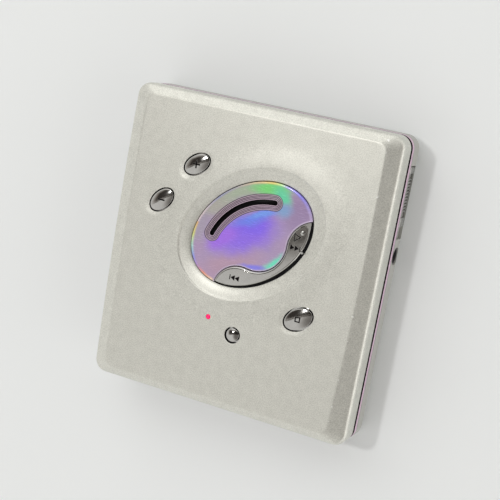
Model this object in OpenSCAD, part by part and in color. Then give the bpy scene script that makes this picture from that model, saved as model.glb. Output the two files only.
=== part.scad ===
// Portable minidisc player lying on its back, +Z out of its front, +Y up its face, in millimetres.
// The origin is the middle of the back. The front half is a lid, hinged along the left side.

/* [Body] */
// Width of the body
body_w = 73.5; // [73.5:0.1:76]
// Height of the body, from its bottom side to its top side
body_h = 78.3; // [78.3:0.1:82]
// Thickness, from the back to the flat of the front
body_t = 15.6; // [15.6:0.1:17]
// Radius of the four corners seen from the front
corner_r = 3.4; // [3:0.1:5]
// Radius of the back's rounded edge
back_edge_r = 3; // [2:0.1:3]
// Wall of the lid and of the back cover
wall = 1; // [0.9:0.05:1.2]
// How far the left side's ends draw in from its middle
side_bow = 0.5; // [0:0.1:0.6]

/* [Front] */
// Width of the bevels along the two long sides
side_bevel = 4.6; // [3:0.1:6]
// Width of the bevels at the top and bottom
end_bevel = 2.4; // [1.5:0.1:4]
// How far the right bevel widens away from its narrowest place
crease_bow = 0.9; // [0:0.1:1.2]
// Drop of the front's bevels
bevel_drop = 1.1; // [0.6:0.1:1.4]
// Height of the swelling that carries the rim of the dish
swell_h = 0.3; // [0:0.05:0.5]
// Depth of the dish below the flat of the front
dish_depth = 0.4; // [0.2:0.05:0.5]

/* [Lid] */
// How far the lid opens, in degrees
lid_swing = 30; // [20:1:30]
// Height of the shadow gap between the lid and the frame band
seam_gap = 0.9; // [0.5:0.1:1.2]

/* [Controls] */
// Gap round a button, at each side
key_gap = 0.12; // [0.08:0.01:0.2]
// Travel of a button
key_travel = 0.2; // [0.1:0.05:0.2]
// Travel of the opening slider
slider_travel = 2.5; // [1:0.1:2.5]
// Ribs on the opening slider
slider_ribs = 11; // [6:1:14]
// Radius of the headphone jack's bore
jack_r = 1.8; // [1.75:0.01:1.85]

/* [Mechanism] */
// Radius of the spindle motor
motor_r = 9; // [6:0.5:9]
// Travel of the pickup away from the spindle
pickup_travel = 11; // [6:0.5:11]
// Lead of the feed screw
screw_lead = 1.5; // [1:0.1:2]

/* [Hidden] */

half_w = body_w / 2;
half_h = body_h / 2;

// Levels, from the back upwards
floor_t = 0.9;
shell_top = 6.35;
band_z = 6.9;
band_top = 8.45;
rim_z = band_top + seam_gap;
lip_top = rim_z - 0.15;
shoulder_z = body_t - 2.4;
ceiling_z = body_t - wall - 0.1;
edge_ceiling_z = body_t - 2;
chassis_z = 6.95;
chassis_t = 0.4;
chassis_top = chassis_z + chassis_t;
board_z = 1.4;
board_t = 0.6;
board_top = board_z + board_t;

// The lid's hinge, parallel to Y, and the lean of the clearance under the lid's left wall
hinge_x = -half_w + 3.15;
hinge_z = rim_z + 2.65;
hinge_eye_r = 1;
hinge_pin_r = 0.45;
hinge_bore_r = 0.5;
lid_ear_y = 35.3;
lid_ear_t = 0.6;
holder_y = 36.15;
chassis_ear_y = 36.65;
chassis_ear_t = 0.6;

// The oval badge, its dish and its slot
badge_c = [2.26, 7.27];
badge_a = 17.45;
badge_b = 12.6;
badge_tilt = 35.3;
dish_grow = 3.6;
swell_grow = 9;
badge_z = ceiling_z + 0.25;
badge_top = badge_z + 0.55;
ledge = 1.2;
slot_c = [7.86, -0.57];
slot_r = 17.14;
slot_from = 92;
slot_to = 160;
slot_half = 0.58;

// The crescent key: two lobes and the round waist between them, all tangent arcs
waist_c = [4.43, 6.38];
waist_r = 7.95;
upper_lobe_c = [19.97, 6.78];
upper_lobe_r = 7.6;
lower_lobe_c = [1.49, -8.25];
lower_lobe_r = 6.95;
key_inset = 0.75;
key_z = badge_z + 0.3;
key_top = body_t + 0.15;
key_crown = 0.3;
axle_c = [10.2, -0.75];
axle_dir = -51;
axle_r = 0.35;
axle_z = ceiling_z - 0.05;

// Buttons: place, half length, half width and tilt
volume_up = [-15.47, 21.54, 3.93, 2.49, 35.5];
volume_down = [-23.68, 10.51, 3.93, 2.49, 45.6];
stop_at = [18.99, -10.24, 4.17, 2.77, 34];
mode_c = [2.42, -18.89];
mode_r = 2;
lamp_c = [-4.99, -15.96];
lamp_r = 0.42;
flange_grow = 0.5;
flange_t = 0.3;
flange_z = ceiling_z - flange_t - 0.05;
stem_z = flange_z - 0.15;
button_crown = 0.45;

// Key board in the lid
key_board_z = edge_ceiling_z - 0.3;
key_board_t = 0.35;
key_board_top = key_board_z + key_board_t;
dome_t = 0.1;
switch_points = [[-15.47, 21.54], [-23.68, 10.51], [18.99, -10.24], [2.42, -18.89],
                 [14.8, 8.9], [-0.3, -4.3]];
stake_points = [[-26, -6], [22, 20], [-14, -20]];

// Space for the cartridge, 72 by 68 by 5
bay_x0 = -32.45;
bay_x1 = half_w - wall - 0.05;
holder_z = 7.45;
holder_t = 0.25;
holder_top = 13.2;

// Spindle, pickup and feed
spindle_c = [1.4, 0];
motor_z = 2.8;
rod_y0 = -33.6;
rod_y1 = -6.5;
rod_z = 4.6;
rod_r = 0.75;
rod_gap = 12;
sled_y0 = -21;
sled_y1 = -13;
lens_y = -17;
screw_x = 18.2;
screw_r = 0.9;

// Battery bay and its door
cell = [17, 67, 5.85];
cell_x0 = -33.1;
cell_y0 = -36.2;
door_x0 = -34.3;
door_x1 = -15;
door_axis = [-33.3, -half_h + 0.95];
door_pin_r = 0.4;
door_inner_y = -half_h + 1.4;

// Right side: opening slider and headphone jack
slider_y0 = 16.4;
slider_y1 = 31.6;
slider_z0 = 2.5;
slider_z1 = 5.9;
jack_y = 9.1;
jack_z = 4.05;
spring_x = 32.75;
spring_z = 4.4;
spring_y0 = 19.8;
spring_y1 = 29.6;
spring_wire = 0.15;
spring_coil_r = 0.85;
spring_turns = 9;

// Bottom side: hold switch
hold_x0 = 20;
hold_l = 4;
hold_travel = 2;

screw_points = [[-12.8, 35.7], [29.3, 35.7], [-12.8, -35.7], [29.3, -35.7]];

silver = [0.83, 0.83, 0.80];
lavender = [0.76, 0.66, 0.74];
grey = [0.66, 0.66, 0.62];
chrome = [0.55, 0.54, 0.52];
steel = [0.70, 0.71, 0.72];

eps = 0.01;
arc_steps = 7;
edge_steps = 8;

// The outline drawn in by side_in at the sides and end_in at the ends, as points in counter-clockwise order
function bowed(p, crease = 0) =
    let (draw = p[0] < 0 ? side_bow * pow((p[1] - 5) / half_h, 2) : -crease * pow((p[1] - 12) / half_h, 2))
    [p[0] + draw * min(1, abs(p[0]) / half_w), p[1]];
function corner(cx, cy, r, from) =
    [for (i = [0 : arc_steps]) let (a = from + 90 * i / arc_steps) [cx + r * cos(a), cy + r * sin(a)]];
function between(a, b) =
    [for (i = [1 : edge_steps - 1]) a + (b - a) * i / edge_steps];
function outline(side_in, end_in) =
    let (r = max(0.4, corner_r - max(side_in, end_in)),
         x = half_w - side_in - r,
         y = half_h - end_in - r,
         c = [corner(x, -y, r, -90), corner(x, y, r, 0), corner(-x, y, r, 90), corner(-x, -y, r, 180)])
    [for (k = [0 : 3]) each concat(c[k], between(c[k][arc_steps], c[(k + 1) % 4][0]))];
function bowed_outline(side_in, end_in) = [for (p = outline(side_in, end_in)) bowed(p)];
function ring(side_in, end_in, z, crease = 0) =
    [for (p = outline(side_in, end_in)) let (b = bowed(p, crease)) [b[0], b[1], z]];

// Points of an oval about a centre
function oval(c, a, b, tilt, n = 60) =
    [for (i = [0 : n - 1]) let (t = 360 * i / n, x = a * cos(t), y = b * sin(t))
        [c[0] + x * cos(tilt) - y * sin(tilt), c[1] + x * sin(tilt) + y * cos(tilt)]];
function oval_ring(c, a, b, tilt, z, n = 60) = [for (p = oval(c, a, b, tilt, n)) [p[0], p[1], z]];

// A closed solid through rings of equally many points, from the lowest ring to the highest
function middle(r) = [for (k = [0 : 2]) [for (p = r) p[k]] * [for (p = r) 1 / len(r)]];
module loft(rings) {
    n = len(rings[0]);
    m = len(rings);
    sides = [for (j = [0 : m - 2], i = [0 : n - 1], k = [0, 1])
        let (a = j * n + i, b = j * n + (i + 1) % n, c = a + n, d = b + n)
        k == 0 ? [a, c, d] : [a, d, b]];
    base = [for (i = [0 : n - 1]) [i, (i + 1) % n, m * n]];
    top = [for (i = [0 : n - 1]) [(m - 1) * n + (i + 1) % n, (m - 1) * n + i, m * n + 1]];
    polyhedron(points = concat([for (r = rings) each r], [middle(rings[0]), middle(rings[m - 1])]),
               faces = concat(base, sides, top));
}

module slab(z0, z1, inset = 0) {
    translate([0, 0, z0])
        linear_extrude(z1 - z0)
            polygon(bowed_outline(inset, inset));
}

module box(low, high) {
    translate(low)
        cube(high - low);
}

module upright(c, r, z0, z1, fn = 48) {
    translate([c[0], c[1], z0])
        cylinder(r = r, h = z1 - z0, $fn = fn);
}

// A cylinder along Y
module rod(x, z, r, y0, y1, fn = 48) {
    translate([x, y0, z])
        rotate([-90, 0, 0])
            cylinder(r = r, h = y1 - y0, $fn = fn);
}

// A band that follows the window's arc
module arc_band(half, z0, z1) {
    translate([slot_c[0], slot_c[1], z0])
        linear_extrude(z1 - z0) {
            difference() {
                circle(r = slot_r + half, $fn = 180);
                circle(r = slot_r - half, $fn = 180);
                polygon([[0, 0], 40 * [cos(slot_to), sin(slot_to)], [-40, -40], [40, -40], [40, 40],
                         40 * [cos(slot_from), sin(slot_from)]]);
            }
            for (a = [slot_from, slot_to])
                translate(slot_r * [cos(a), sin(a)])
                    circle(r = half, $fn = 32);
        }
}

module oval_prism(c, a, b, tilt, z0, z1) {
    translate([0, 0, z0])
        linear_extrude(z1 - z0)
            polygon(oval(c, a, b, tilt));
}

// The crescent's outline, grown by g on its inner side
module crescent(g) {
    difference() {
        union() {
            translate(upper_lobe_c)
                circle(r = upper_lobe_r + g, $fn = 120);
            translate(lower_lobe_c)
                circle(r = lower_lobe_r + g, $fn = 120);
            polygon([waist_c, upper_lobe_c, [24, -12], lower_lobe_c]);
        }
        translate(waist_c)
            circle(r = waist_r - g, $fn = 120);
    }
}

// Rings of the lid's outside, with the shoulder and the bevels
function cover_rings() = [
    ring(0, 0, rim_z),
    ring(0, 0, shoulder_z),
    ring(0.08, 0.06, shoulder_z + 0.5),
    ring(0.26, 0.2, shoulder_z + 0.95),
    ring(0.64, 0.55, body_t - bevel_drop),
    ring(side_bevel - 0.7, end_bevel, body_t, crease_bow)];

module front_cover() {
    color(silver)
    difference() {
        union() {
            difference() {
                union() {
                    loft(cover_rings());
                    loft([oval_ring(badge_c, badge_a + swell_grow, badge_b + swell_grow, badge_tilt, body_t - 0.3),
                          oval_ring(badge_c, badge_a + swell_grow, badge_b + swell_grow, badge_tilt, body_t + eps),
                          oval_ring(badge_c, badge_a + 6.5, badge_b + 6.5, badge_tilt, body_t + 0.3 * swell_h),
                          oval_ring(badge_c, badge_a + 4.4, badge_b + 4.4, badge_tilt, body_t + 0.9 * swell_h),
                          oval_ring(badge_c, badge_a + dish_grow, badge_b + dish_grow, badge_tilt,
                                    body_t + swell_h)]);
                }
                loft([oval_ring(badge_c, badge_a + 0.1, badge_b + 0.1, badge_tilt, body_t - dish_depth),
                      oval_ring(badge_c, badge_a + 1.8, badge_b + 1.8, badge_tilt, body_t - 0.6 * dish_depth),
                      oval_ring(badge_c, badge_a + 3, badge_b + 3, badge_tilt, body_t + 0.4 * swell_h),
                      oval_ring(badge_c, badge_a + 3.5, badge_b + 3.5, badge_tilt, body_t + swell_h),
                      oval_ring(badge_c, badge_a + 3.5, badge_b + 3.5, badge_tilt, body_t + 2)]);
                slab(rim_z - 1, edge_ceiling_z, wall);
                box([-32.2, -35.8, edge_ceiling_z - eps], [32.2, 35.8, ceiling_z]);
            }
            cover_bosses();
        }
        cover_openings();
    }
}

// Latch hook, key pivot block, board stakes and hinge plate blocks, on the inside of the lid
module cover_bosses() {
    box([32.1, 36.6, 5.2], [33.2, 37.4, edge_ceiling_z + 0.2]);
    translate([axle_c[0], axle_c[1], 0])
        rotate(axle_dir)
            box([1.5, -0.9, axle_z - 0.6], [3.4, 0.9, badge_z - eps]);
    for (p = stake_points) {
        upright(p, 1.1, key_board_top, ceiling_z + 0.2);
        upright(p, 0.55, key_board_z, ceiling_z + 0.2);
    }
}

module cover_openings() {
    oval_prism(badge_c, badge_a + 0.1, badge_b + 0.1, badge_tilt, badge_z, body_t + 1);
    oval_prism(badge_c, badge_a - ledge, badge_b - ledge, badge_tilt, ceiling_z - eps, badge_z + eps);
    for (b = [volume_up, volume_down, stop_at])
        oval_prism([b[0], b[1]], b[2], b[3], b[4], ceiling_z - 1, body_t + 1);
    translate([axle_c[0], axle_c[1], 0])
        rotate(axle_dir)
            box([-1.4, -1.1, ceiling_z - eps], [1.4, 1.1, badge_z + eps]);
    upright(mode_c, mode_r, ceiling_z - 1, body_t + 1);
    upright(lamp_c, lamp_r, ceiling_z - 1, body_t + 1, 24);
    translate([axle_c[0], axle_c[1], axle_z])
        rotate([0, 90, axle_dir])
            cylinder(r = axle_r + 0.05, h = 3, $fn = 32);
    for (s = [-1, 1])
        upright([hinge_x, 24 * s], 0.6, edge_ceiling_z - 1, body_t - 1.1, 24);
    // Clearance under the left wall, which meets the frame when the lid is wide open
    lean = lid_swing;
    reach = hinge_z - rim_z - 0.05;
    corner_x = hinge_x - (reach - (hinge_z - rim_z) * cos(lean)) / sin(lean);
    edge_z = hinge_z - (reach + (-half_w - 1 - hinge_x) * sin(lean)) / cos(lean);
    translate([0, half_h + 1, 0])
        rotate([90, 0, 0])
            linear_extrude(body_h + 2)
                polygon([[corner_x, rim_z - 1], [corner_x, rim_z], [-half_w - 1, edge_z],
                         [-half_w - 1, rim_z - 1]]);
    // Two dimples in the top side
    for (x = [-26, 25.5])
        translate([x, half_h + 0.75, rim_z + 2.2])
            sphere(r = 1.6, $fn = 48);
}

// Oval badge without the crescent and the window's slot
module badge_plate() {
    color([0.68, 0.58, 0.82])
    difference() {
        union() {
            translate([0, 0, badge_z])
                linear_extrude(badge_top - badge_z)
                    difference() {
                        polygon(oval(badge_c, badge_a - key_gap, badge_b - key_gap, badge_tilt));
                        crescent(key_gap + 0.05);
                    }
            translate([axle_c[0], axle_c[1], 0])
                rotate(axle_dir)
                    box([-3.4, -0.9, axle_z - 0.6], [-1.5, 0.9, badge_z + 0.2]);
        }
        translate([axle_c[0], axle_c[1], axle_z])
            rotate([0, -90, axle_dir])
                cylinder(r = axle_r + 0.05, h = 3, $fn = 32);
        arc_band(slot_half, badge_z - 1, badge_top + 1);
        arc_band(slot_half + 1.5, badge_top - 0.15, badge_top + 1);
    }
}

module window_lens() {
    color([0.05, 0.05, 0.06])
        arc_band(slot_half + 0.8, badge_z - 0.3, badge_z);
}

module control_key() {
    color(chrome) {
        difference() {
            union() {
                intersection() {
                    loft([oval_ring(badge_c, badge_a - key_inset, badge_b - key_inset, badge_tilt, key_z),
                          oval_ring(badge_c, badge_a - key_inset, badge_b - key_inset, badge_tilt, key_top - 0.3),
                          oval_ring(badge_c, badge_a - key_inset - 0.3, badge_b - key_inset - 0.3, badge_tilt,
                                    key_top),
                          oval_ring(badge_c, badge_a - key_inset - 1.6, badge_b - key_inset - 1.6, badge_tilt,
                                    key_top + key_crown)]);
                    translate([0, 0, key_z - 1])
                        linear_extrude(4)
                            crescent(0);
                }
                for (p = [switch_points[4], switch_points[5]])
                    upright(p, 0.9, stem_z + 0.05, key_z + 0.1, 24);
                translate([axle_c[0], axle_c[1], 0])
                    rotate(axle_dir)
                        box([-0.9, -0.8, axle_z - 0.5], [0.9, 0.8, key_z + 0.1]);
            }
        }
        translate([axle_c[0], axle_c[1], axle_z])
            rotate([0, 90, axle_dir])
                translate([0, 0, -2.4])
                    cylinder(r = axle_r, h = 4.8, $fn = 32);
    }
}

// An oval button with a crowned top, a flange under the cover and a stem
module oval_button(b) {
    c = [b[0], b[1]];
    a1 = b[2] - key_gap;
    b1 = b[3] - key_gap;
    color(chrome) {
        loft([oval_ring(c, a1, b1, b[4], flange_z + flange_t - eps, 48),
              oval_ring(c, a1, b1, b[4], body_t - 0.05, 48),
              oval_ring(c, 0.9 * a1, 0.9 * b1, b[4], body_t + 0.5 * button_crown, 48),
              oval_ring(c, 0.6 * a1, 0.6 * b1, b[4], body_t + 0.9 * button_crown, 48),
              oval_ring(c, 0.2 * a1, 0.2 * b1, b[4], body_t + button_crown, 48)]);
        oval_prism(c, b[2] + flange_grow, b[3] + flange_grow, b[4], flange_z, flange_z + flange_t);
        upright(c, 1.2, stem_z, flange_z + eps, 24);
    }
}

module volume_up_button() {
    oval_button(volume_up);
}

module volume_down_button() {
    oval_button(volume_down);
}

module stop_button() {
    oval_button(stop_at);
}

module mode_button() {
    color(chrome) {
        r = mode_r - key_gap;
        upright(mode_c, r, flange_z, body_t + 0.02);
        intersection() {
            upright(mode_c, r, body_t, body_t + 1);
            translate([mode_c[0], mode_c[1], body_t + 0.3 - 6])
                sphere(r = 6, $fn = 96);
        }
        upright(mode_c, mode_r + flange_grow, flange_z, flange_z + flange_t);
        upright(mode_c, 1.2, stem_z, flange_z + eps, 24);
    }
}

module indicator_lens() {
    color([0.9, 0.15, 0.35]) {
        upright(lamp_c, lamp_r - 0.02, ceiling_z - 0.25, body_t + 0.03, 24);
        upright(lamp_c, lamp_r + 0.3, ceiling_z - 0.25, ceiling_z, 24);
    }
}

module indicator_lamp() {
    color([0.95, 0.9, 0.85])
        box([lamp_c[0] - 0.8, lamp_c[1] - 0.4, key_board_top], [lamp_c[0] + 0.8, lamp_c[1] + 0.4,
                                                               key_board_top + 0.45]);
}

module key_board() {
    color([0.12, 0.32, 0.2])
    difference() {
        box([-29, -22.5, key_board_z], [25, 25.5, key_board_top]);
        arc_band(slot_half + 1.1, key_board_z - 1, key_board_top + 1);
        for (p = stake_points)
            upright(p, 0.58, key_board_z - 1, key_board_top + 1, 24);
    }
}

module switch_domes() {
    color(steel)
    for (p = switch_points)
        upright(p, 1.7, key_board_top, key_board_top + dome_t);
}

// Strip screwed inside the lid's left edge, with an ear bent down at each end
module lid_hinge_plate() {
    plate_t = 0.25;
    plate_z = edge_ceiling_z - 0.05 - plate_t;
    color(steel)
    difference() {
        union() {
            box([-34.9, -lid_ear_y - lid_ear_t, plate_z], [-32.35, lid_ear_y + lid_ear_t, plate_z + plate_t]);
            for (s = [-1, 1])
                translate([0, s * (lid_ear_y + lid_ear_t / 2), 0]) {
                    rod(hinge_x, hinge_z, hinge_eye_r, -lid_ear_t / 2, lid_ear_t / 2);
                    box([hinge_x - hinge_eye_r, -lid_ear_t / 2, hinge_z],
                        [hinge_x + 0.5, lid_ear_t / 2, plate_z + eps]);
                }
        }
        rod(hinge_x, hinge_z, hinge_bore_r, -half_h, half_h, 32);
        for (s = [-1, 1])
            upright([hinge_x, 24 * s], 0.65, plate_z - 1, plate_z + 1, 24);
    }
}

module lid_screws() {
    head_z = edge_ceiling_z - 0.3;
    color(steel)
    for (s = [-1, 1]) {
        upright([hinge_x, 24 * s], 0.8, head_z - 0.35, head_z, 32);
        upright([hinge_x, 24 * s], 0.6, head_z - eps, edge_ceiling_z + 0.8, 24);
    }
}

// Sheet metal holder that the cartridge slides into from the right
module disc_holder() {
    outer_y = holder_y + 0.3;
    right_x = half_w - 1.85;
    color(steel)
    difference() {
        union() {
            box([bay_x0 - 0.05, -outer_y, holder_top - holder_t], [right_x, outer_y, holder_top]);
            box([bay_x0 - holder_t, -20, holder_z], [bay_x0, 20, holder_top]);
            for (s = [-1, 1]) {
                flange_y = s > 0 ? holder_y : -outer_y;
                lip_y = s > 0 ? holder_y - 2.2 : -outer_y;
                box([-32.2, flange_y, holder_z], [right_x, flange_y + 0.3, holder_top]);
                box([-32.2, lip_y, holder_z], [right_x, lip_y + 2.5, holder_z + holder_t]);
                rod(hinge_x, hinge_z, hinge_eye_r, flange_y, flange_y + 0.3);
                box([hinge_x, flange_y, hinge_z - hinge_eye_r], [-32, flange_y + 0.3, hinge_z + hinge_eye_r]);
            }
        }
        rod(hinge_x, hinge_z, hinge_bore_r, -half_h, half_h, 32);
        for (s = [-1, 1])
            box([-33, s > 0 ? 34.7 : -holder_y + 0.1, hinge_z + 0.5],
                [-32, s > 0 ? holder_y - 0.1 : -34.7, holder_top + 1]);
        arc_band(slot_half + 1.1, holder_top - 1, holder_top + 1);
    }
}

// Coloured band between the halves, with a thin lip that the lid closes over
module mid_frame() {
    color(lavender)
    difference() {
        union() {
            difference() {
                slab(shell_top, band_z + eps, 0.45);
                slab(shell_top - 1, band_z + 1, 1.5);
            }
            difference() {
                slab(band_z, band_top);
                slab(band_z - 1, band_top + 1, wall + 0.05);
            }
            difference() {
                slab(band_top - eps, lip_top, 0.6);
                slab(band_top - 1, lip_top + 1, wall + 0.05);
            }
        }
        box([-32.2, -half_h - 1, shell_top - 1], [door_x1 + 0.15, -half_h + 3, band_z]);
        upright(door_axis, door_pin_r, shell_top - 1, band_z - 0.1, 32);
    }
}

// Rings of the back cover's outside, and of its hollow one wall further in
function back_rings() = concat(
    [for (a = [0 : 15 : 90]) let (d = back_edge_r * (1 - sin(a))) ring(d, d, back_edge_r * (1 - cos(a)))],
    [ring(0, 0, shell_top)]);
function hollow_rings() = concat(
    [for (a = [0 : 30 : 90]) let (d = wall + 2 * (1 - sin(a))) ring(d, d, floor_t + 2.1 * (1 - cos(a)))],
    [ring(wall, wall, shell_top + 1)]);

module back_cover() {
    color(grey)
    difference() {
        union() {
            difference() {
                loft(back_rings());
                loft(hollow_rings());
            }
            back_bosses();
        }
        back_openings();
    }
}

// Screw bosses, battery bay walls, board rests, spring post and the pads behind the slides
module back_bosses() {
    for (p = screw_points)
        upright(p, 1.8, floor_t - 0.2, chassis_z);
    box([-15.7, -36.9, floor_t - 0.2], [-15.1, 34.2, shell_top]);
    box([-33.7, 33.6, floor_t - 0.2], [-15.1, 34.2, shell_top]);
    for (p = [[-13, 20], [-13, -20], [30, 5], [30, -22]])
        upright(p, 1.2, floor_t - 0.2, board_z);
    box([31.9, 19.2, floor_t - 0.2], [33.6, spring_y0, 5.6]);
    box([half_w - 1.65, 12.8, 2.2], [half_w - 0.5, 32.4, shell_top]);
    box([hold_x0 - 0.8, -half_h + 0.5, 2.4], [hold_x0 + 6.8, -half_h + 1.5, 6]);
}

module back_openings() {
    // Recess and slot of the opening slider
    box([half_w - 0.85, 13.4, 2.3], [half_w + 1, slider_y1 + 0.3, 6.1]);
    box([half_w - 3, 19.8, 3.5], [half_w, 26.2, 4.9]);
    // Headphone jack
    translate([half_w - 4, jack_y, jack_z])
        rotate([0, 90, 0])
            cylinder(r = jack_r + 0.45, h = 5, $fn = 48);
    // Recess and slot of the hold switch
    box([hold_x0 - 0.3, -half_h - 1, 2.9], [hold_x0 + hold_l + hold_travel + 0.3, -half_h + 0.6, 5.5]);
    box([hold_x0 + 1.2, -half_h - 1, 3.6], [hold_x0 + 4.8, -half_h + 3, 4.8]);
    // Battery door, its hinge pocket and the pin's seat
    box([-32.15, -half_h - 1, -1], [door_x1 + 0.15, door_inner_y + 0.15, shell_top + 1]);
    box([door_x0 - 0.15, -half_h - 1, 1.45], [-32, door_inner_y + 0.15, shell_top + 1]);
    upright(door_axis, 1.42, 1.45, shell_top + 1);
    upright(door_axis, door_pin_r, 0.9, 2, 32);
    for (p = screw_points) {
        upright(p, 1.6, -1, 0.9, 32);
        upright(p, 0.75, 0, chassis_z + 1, 32);
    }
}

// Pressed steel plate with two hinge ears and the blocks that hold the guide rods
module chassis() {
    color(steel)
    difference() {
        union() {
            difference() {
                slab(chassis_z, chassis_top, wall + 0.15);
                box([31.6, 12.5, 0], [40, 40, 12]);
                box([-40, -36.3, 0], [-16, 36.3, 12]);
                upright(spindle_c, 6.2, 0, 12);
                box([spindle_c[0] - 6.4, -32.5, 0], [spindle_c[0] + 6.4, -11.5, 12]);
            }
            for (s = [-1, 1]) {
                ear_y = s > 0 ? chassis_ear_y : -chassis_ear_y - chassis_ear_t;
                rod(hinge_x, hinge_z, hinge_eye_r, ear_y, ear_y + chassis_ear_t);
                box([hinge_x, ear_y, hinge_z - hinge_eye_r],
                    [-29.5, ear_y + chassis_ear_t, hinge_z + hinge_eye_r]);
                box([-31.4, ear_y, chassis_z], [-29.5, ear_y + chassis_ear_t, hinge_z]);
            }
            for (x = [-rod_gap, rod_gap])
                for (y = [rod_y0 - 0.4, rod_y1 - 1.6])
                    box([spindle_c[0] + x - 1.3, y, rod_z - 1.2], [spindle_c[0] + x + 1.3, y + 1.6, chassis_z + eps]);
            box([screw_x - 1.5, rod_y0 - 0.4, rod_z - 1.2], [screw_x + 1.5, rod_y0 + 1.2, chassis_z + eps]);
        }
        rod(hinge_x, hinge_z, hinge_pin_r, -half_h, half_h, 32);
        for (x = [-rod_gap, rod_gap])
            rod(spindle_c[0] + x, rod_z, rod_r, rod_y0, rod_y1, 32);
        rod(screw_x, rod_z, 0.55, rod_y0 - 1, rod_y1, 32);
        for (p = screw_points)
            upright(p, 0.75, 0, 12, 32);
    }
}

module hinge_pins() {
    color(steel)
    for (s = [-1, 1])
        mirror([0, s > 0 ? 0 : 1, 0]) {
            rod(hinge_x, hinge_z, 0.8, lid_ear_y - 0.35, lid_ear_y - 0.1, 32);
            rod(hinge_x, hinge_z, hinge_pin_r, lid_ear_y - 0.11, chassis_ear_y + chassis_ear_t, 32);
        }
}

module main_board() {
    color([0.1, 0.35, 0.22])
    union() {
        difference() {
            box([-14.9, -33.5, board_z], [31.6, 33.5, board_top]);
            box([half_w - 14.9, jack_y - 2.9, board_z - 1], [40, jack_y + 2.9, board_top + 1]);
        }
        box([18.5, -36.6, board_z], [27.2, -33, board_top]);
    }
}

// Packages on the main board, clear of the mechanism above it
module board_chips() {
    color([0.12, 0.12, 0.13]) {
        box([-12, 16, board_top], [-1, 27, board_top + 1.2]);
        box([3, 15, board_top], [13, 23, board_top + 1]);
        box([17, 14.5, board_top], [27, 27.5, board_top + 1.2]);
        box([22, -14, board_top], [30, -4, board_top + 1.4]);
        box([23, -28, board_top], [29, -18, board_top + 1.2]);
    }
    color([0.75, 0.72, 0.66])
        for (x = [-11 : 3.4 : 12])
            box([x, 29, board_top], [x + 1.6, 31.6, board_top + 1.6]);
}

module spindle_motor() {
    color([0.45, 0.45, 0.46])
    difference() {
        union() {
            upright(spindle_c, motor_r, motor_z, 4.6, 72);
            upright(spindle_c, motor_r - 1.2, 4.6 - eps, 6.4, 72);
            for (a = [30, 150, 270])
                translate([spindle_c[0], spindle_c[1], 0])
                    rotate(a)
                        upright([motor_r - 2.4, 0], 1, 6, chassis_z, 24);
        }
        upright(spindle_c, 0.8, motor_z + 0.4, 8, 32);
    }
}

// Turntable and the motor's shaft, turned from one piece
module turntable() {
    color(steel)
    translate([spindle_c[0], spindle_c[1], 0])
        rotate_extrude($fn = 72)
            polygon([[0, motor_z + 0.5], [0.75, motor_z + 0.5], [0.75, 6.8], [5.4, 6.8], [5.4, 7.9], [4.6, 8.1],
                     [3.4, 8.1], [3.4, 7.7], [1.6, 7.7], [1.2, 8.35], [0, 8.35]]);
}

module clamp_magnet() {
    color([0.25, 0.25, 0.27])
    difference() {
        upright(spindle_c, 3.3, 7.7, 8, 48);
        upright(spindle_c, 1.7, 7, 9, 48);
    }
}

module guide_rods() {
    color(steel)
    for (x = [-rod_gap, rod_gap])
        rod(spindle_c[0] + x, rod_z, rod_r, rod_y0, rod_y1, 32);
}

// Sled with two bores on one rod, an open fork on the other and a half nut on the feed screw
module pickup_sled() {
    left_x = spindle_c[0] - rod_gap;
    right_x = spindle_c[0] + rod_gap;
    color([0.16, 0.16, 0.17])
    difference() {
        union() {
            box([left_x - 1.7, sled_y0, 2.9], [left_x + 1.7, sled_y1, 6.4]);
            box([left_x + 1.6, sled_y0 + 0.8, 2.9], [right_x - 1.4, sled_y1 - 0.8, 6]);
            box([right_x - 1.5, -19, 3.4], [right_x + 1.5, -15, 6.4]);
            box([right_x + 1.4, -18, 5.75], [screw_x + 0.5, -16, 6.4]);
        }
        rod(left_x, rod_z, rod_r + 0.05, sled_y0 - 1, sled_y1 + 1, 32);
        box([right_x - rod_r - 0.1, -20, rod_z - rod_r - 0.1], [right_x + 2, -14, rod_z + rod_r + 0.1]);
    }
}

module lens_actuator() {
    color([0.2, 0.2, 0.22])
    difference() {
        box([spindle_c[0] - 4.5, lens_y - 3.2, 6], [spindle_c[0] + 4.5, lens_y + 3.2, 7.7]);
        upright([spindle_c[0], lens_y], 1.9, 6.6, 9, 32);
    }
}

module objective_lens() {
    color([0.5, 0.6, 0.85])
    intersection() {
        upright([spindle_c[0], lens_y], 1.88, 6.6, 9, 48);
        translate([spindle_c[0], lens_y, 8.15 - 3.2])
            sphere(r = 3.2, $fn = 96);
    }
}

module feed_motor() {
    color([0.5, 0.5, 0.5])
    difference() {
        box([screw_x - 3.4, rod_y1 + 0.2, 2.9], [screw_x + 3.4, rod_y1 + 9, 6.5]);
        rod(screw_x, rod_z, 0.6, rod_y1 - 1, rod_y1 + 6, 32);
    }
}

module feed_screw() {
    color(steel) {
        rod(screw_x, rod_z, screw_r, rod_y0 + 1.3, rod_y1, 32);
        rod(screw_x, rod_z, 0.5, rod_y0, rod_y1 + 5, 32);
    }
}

module headphone_jack() {
    color([0.14, 0.14, 0.15])
    difference() {
        union() {
            box([half_w - 14.6, jack_y - 2.6, 1.1], [half_w - 2.5, jack_y + 2.6, 6.2]);
            translate([half_w - 2.6, jack_y, jack_z])
                rotate([0, 90, 0])
                    cylinder(r = jack_r + 0.4, h = 2.2, $fn = 48);
        }
        translate([half_w - 13.6, jack_y, jack_z])
            rotate([0, 90, 0])
                cylinder(r = jack_r, h = 15, $fn = 48);
        box([half_w - 12, jack_y - 4, jack_z - 0.6], [half_w - 6, jack_y - 2.2, jack_z + 0.6]);
    }
}

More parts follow.
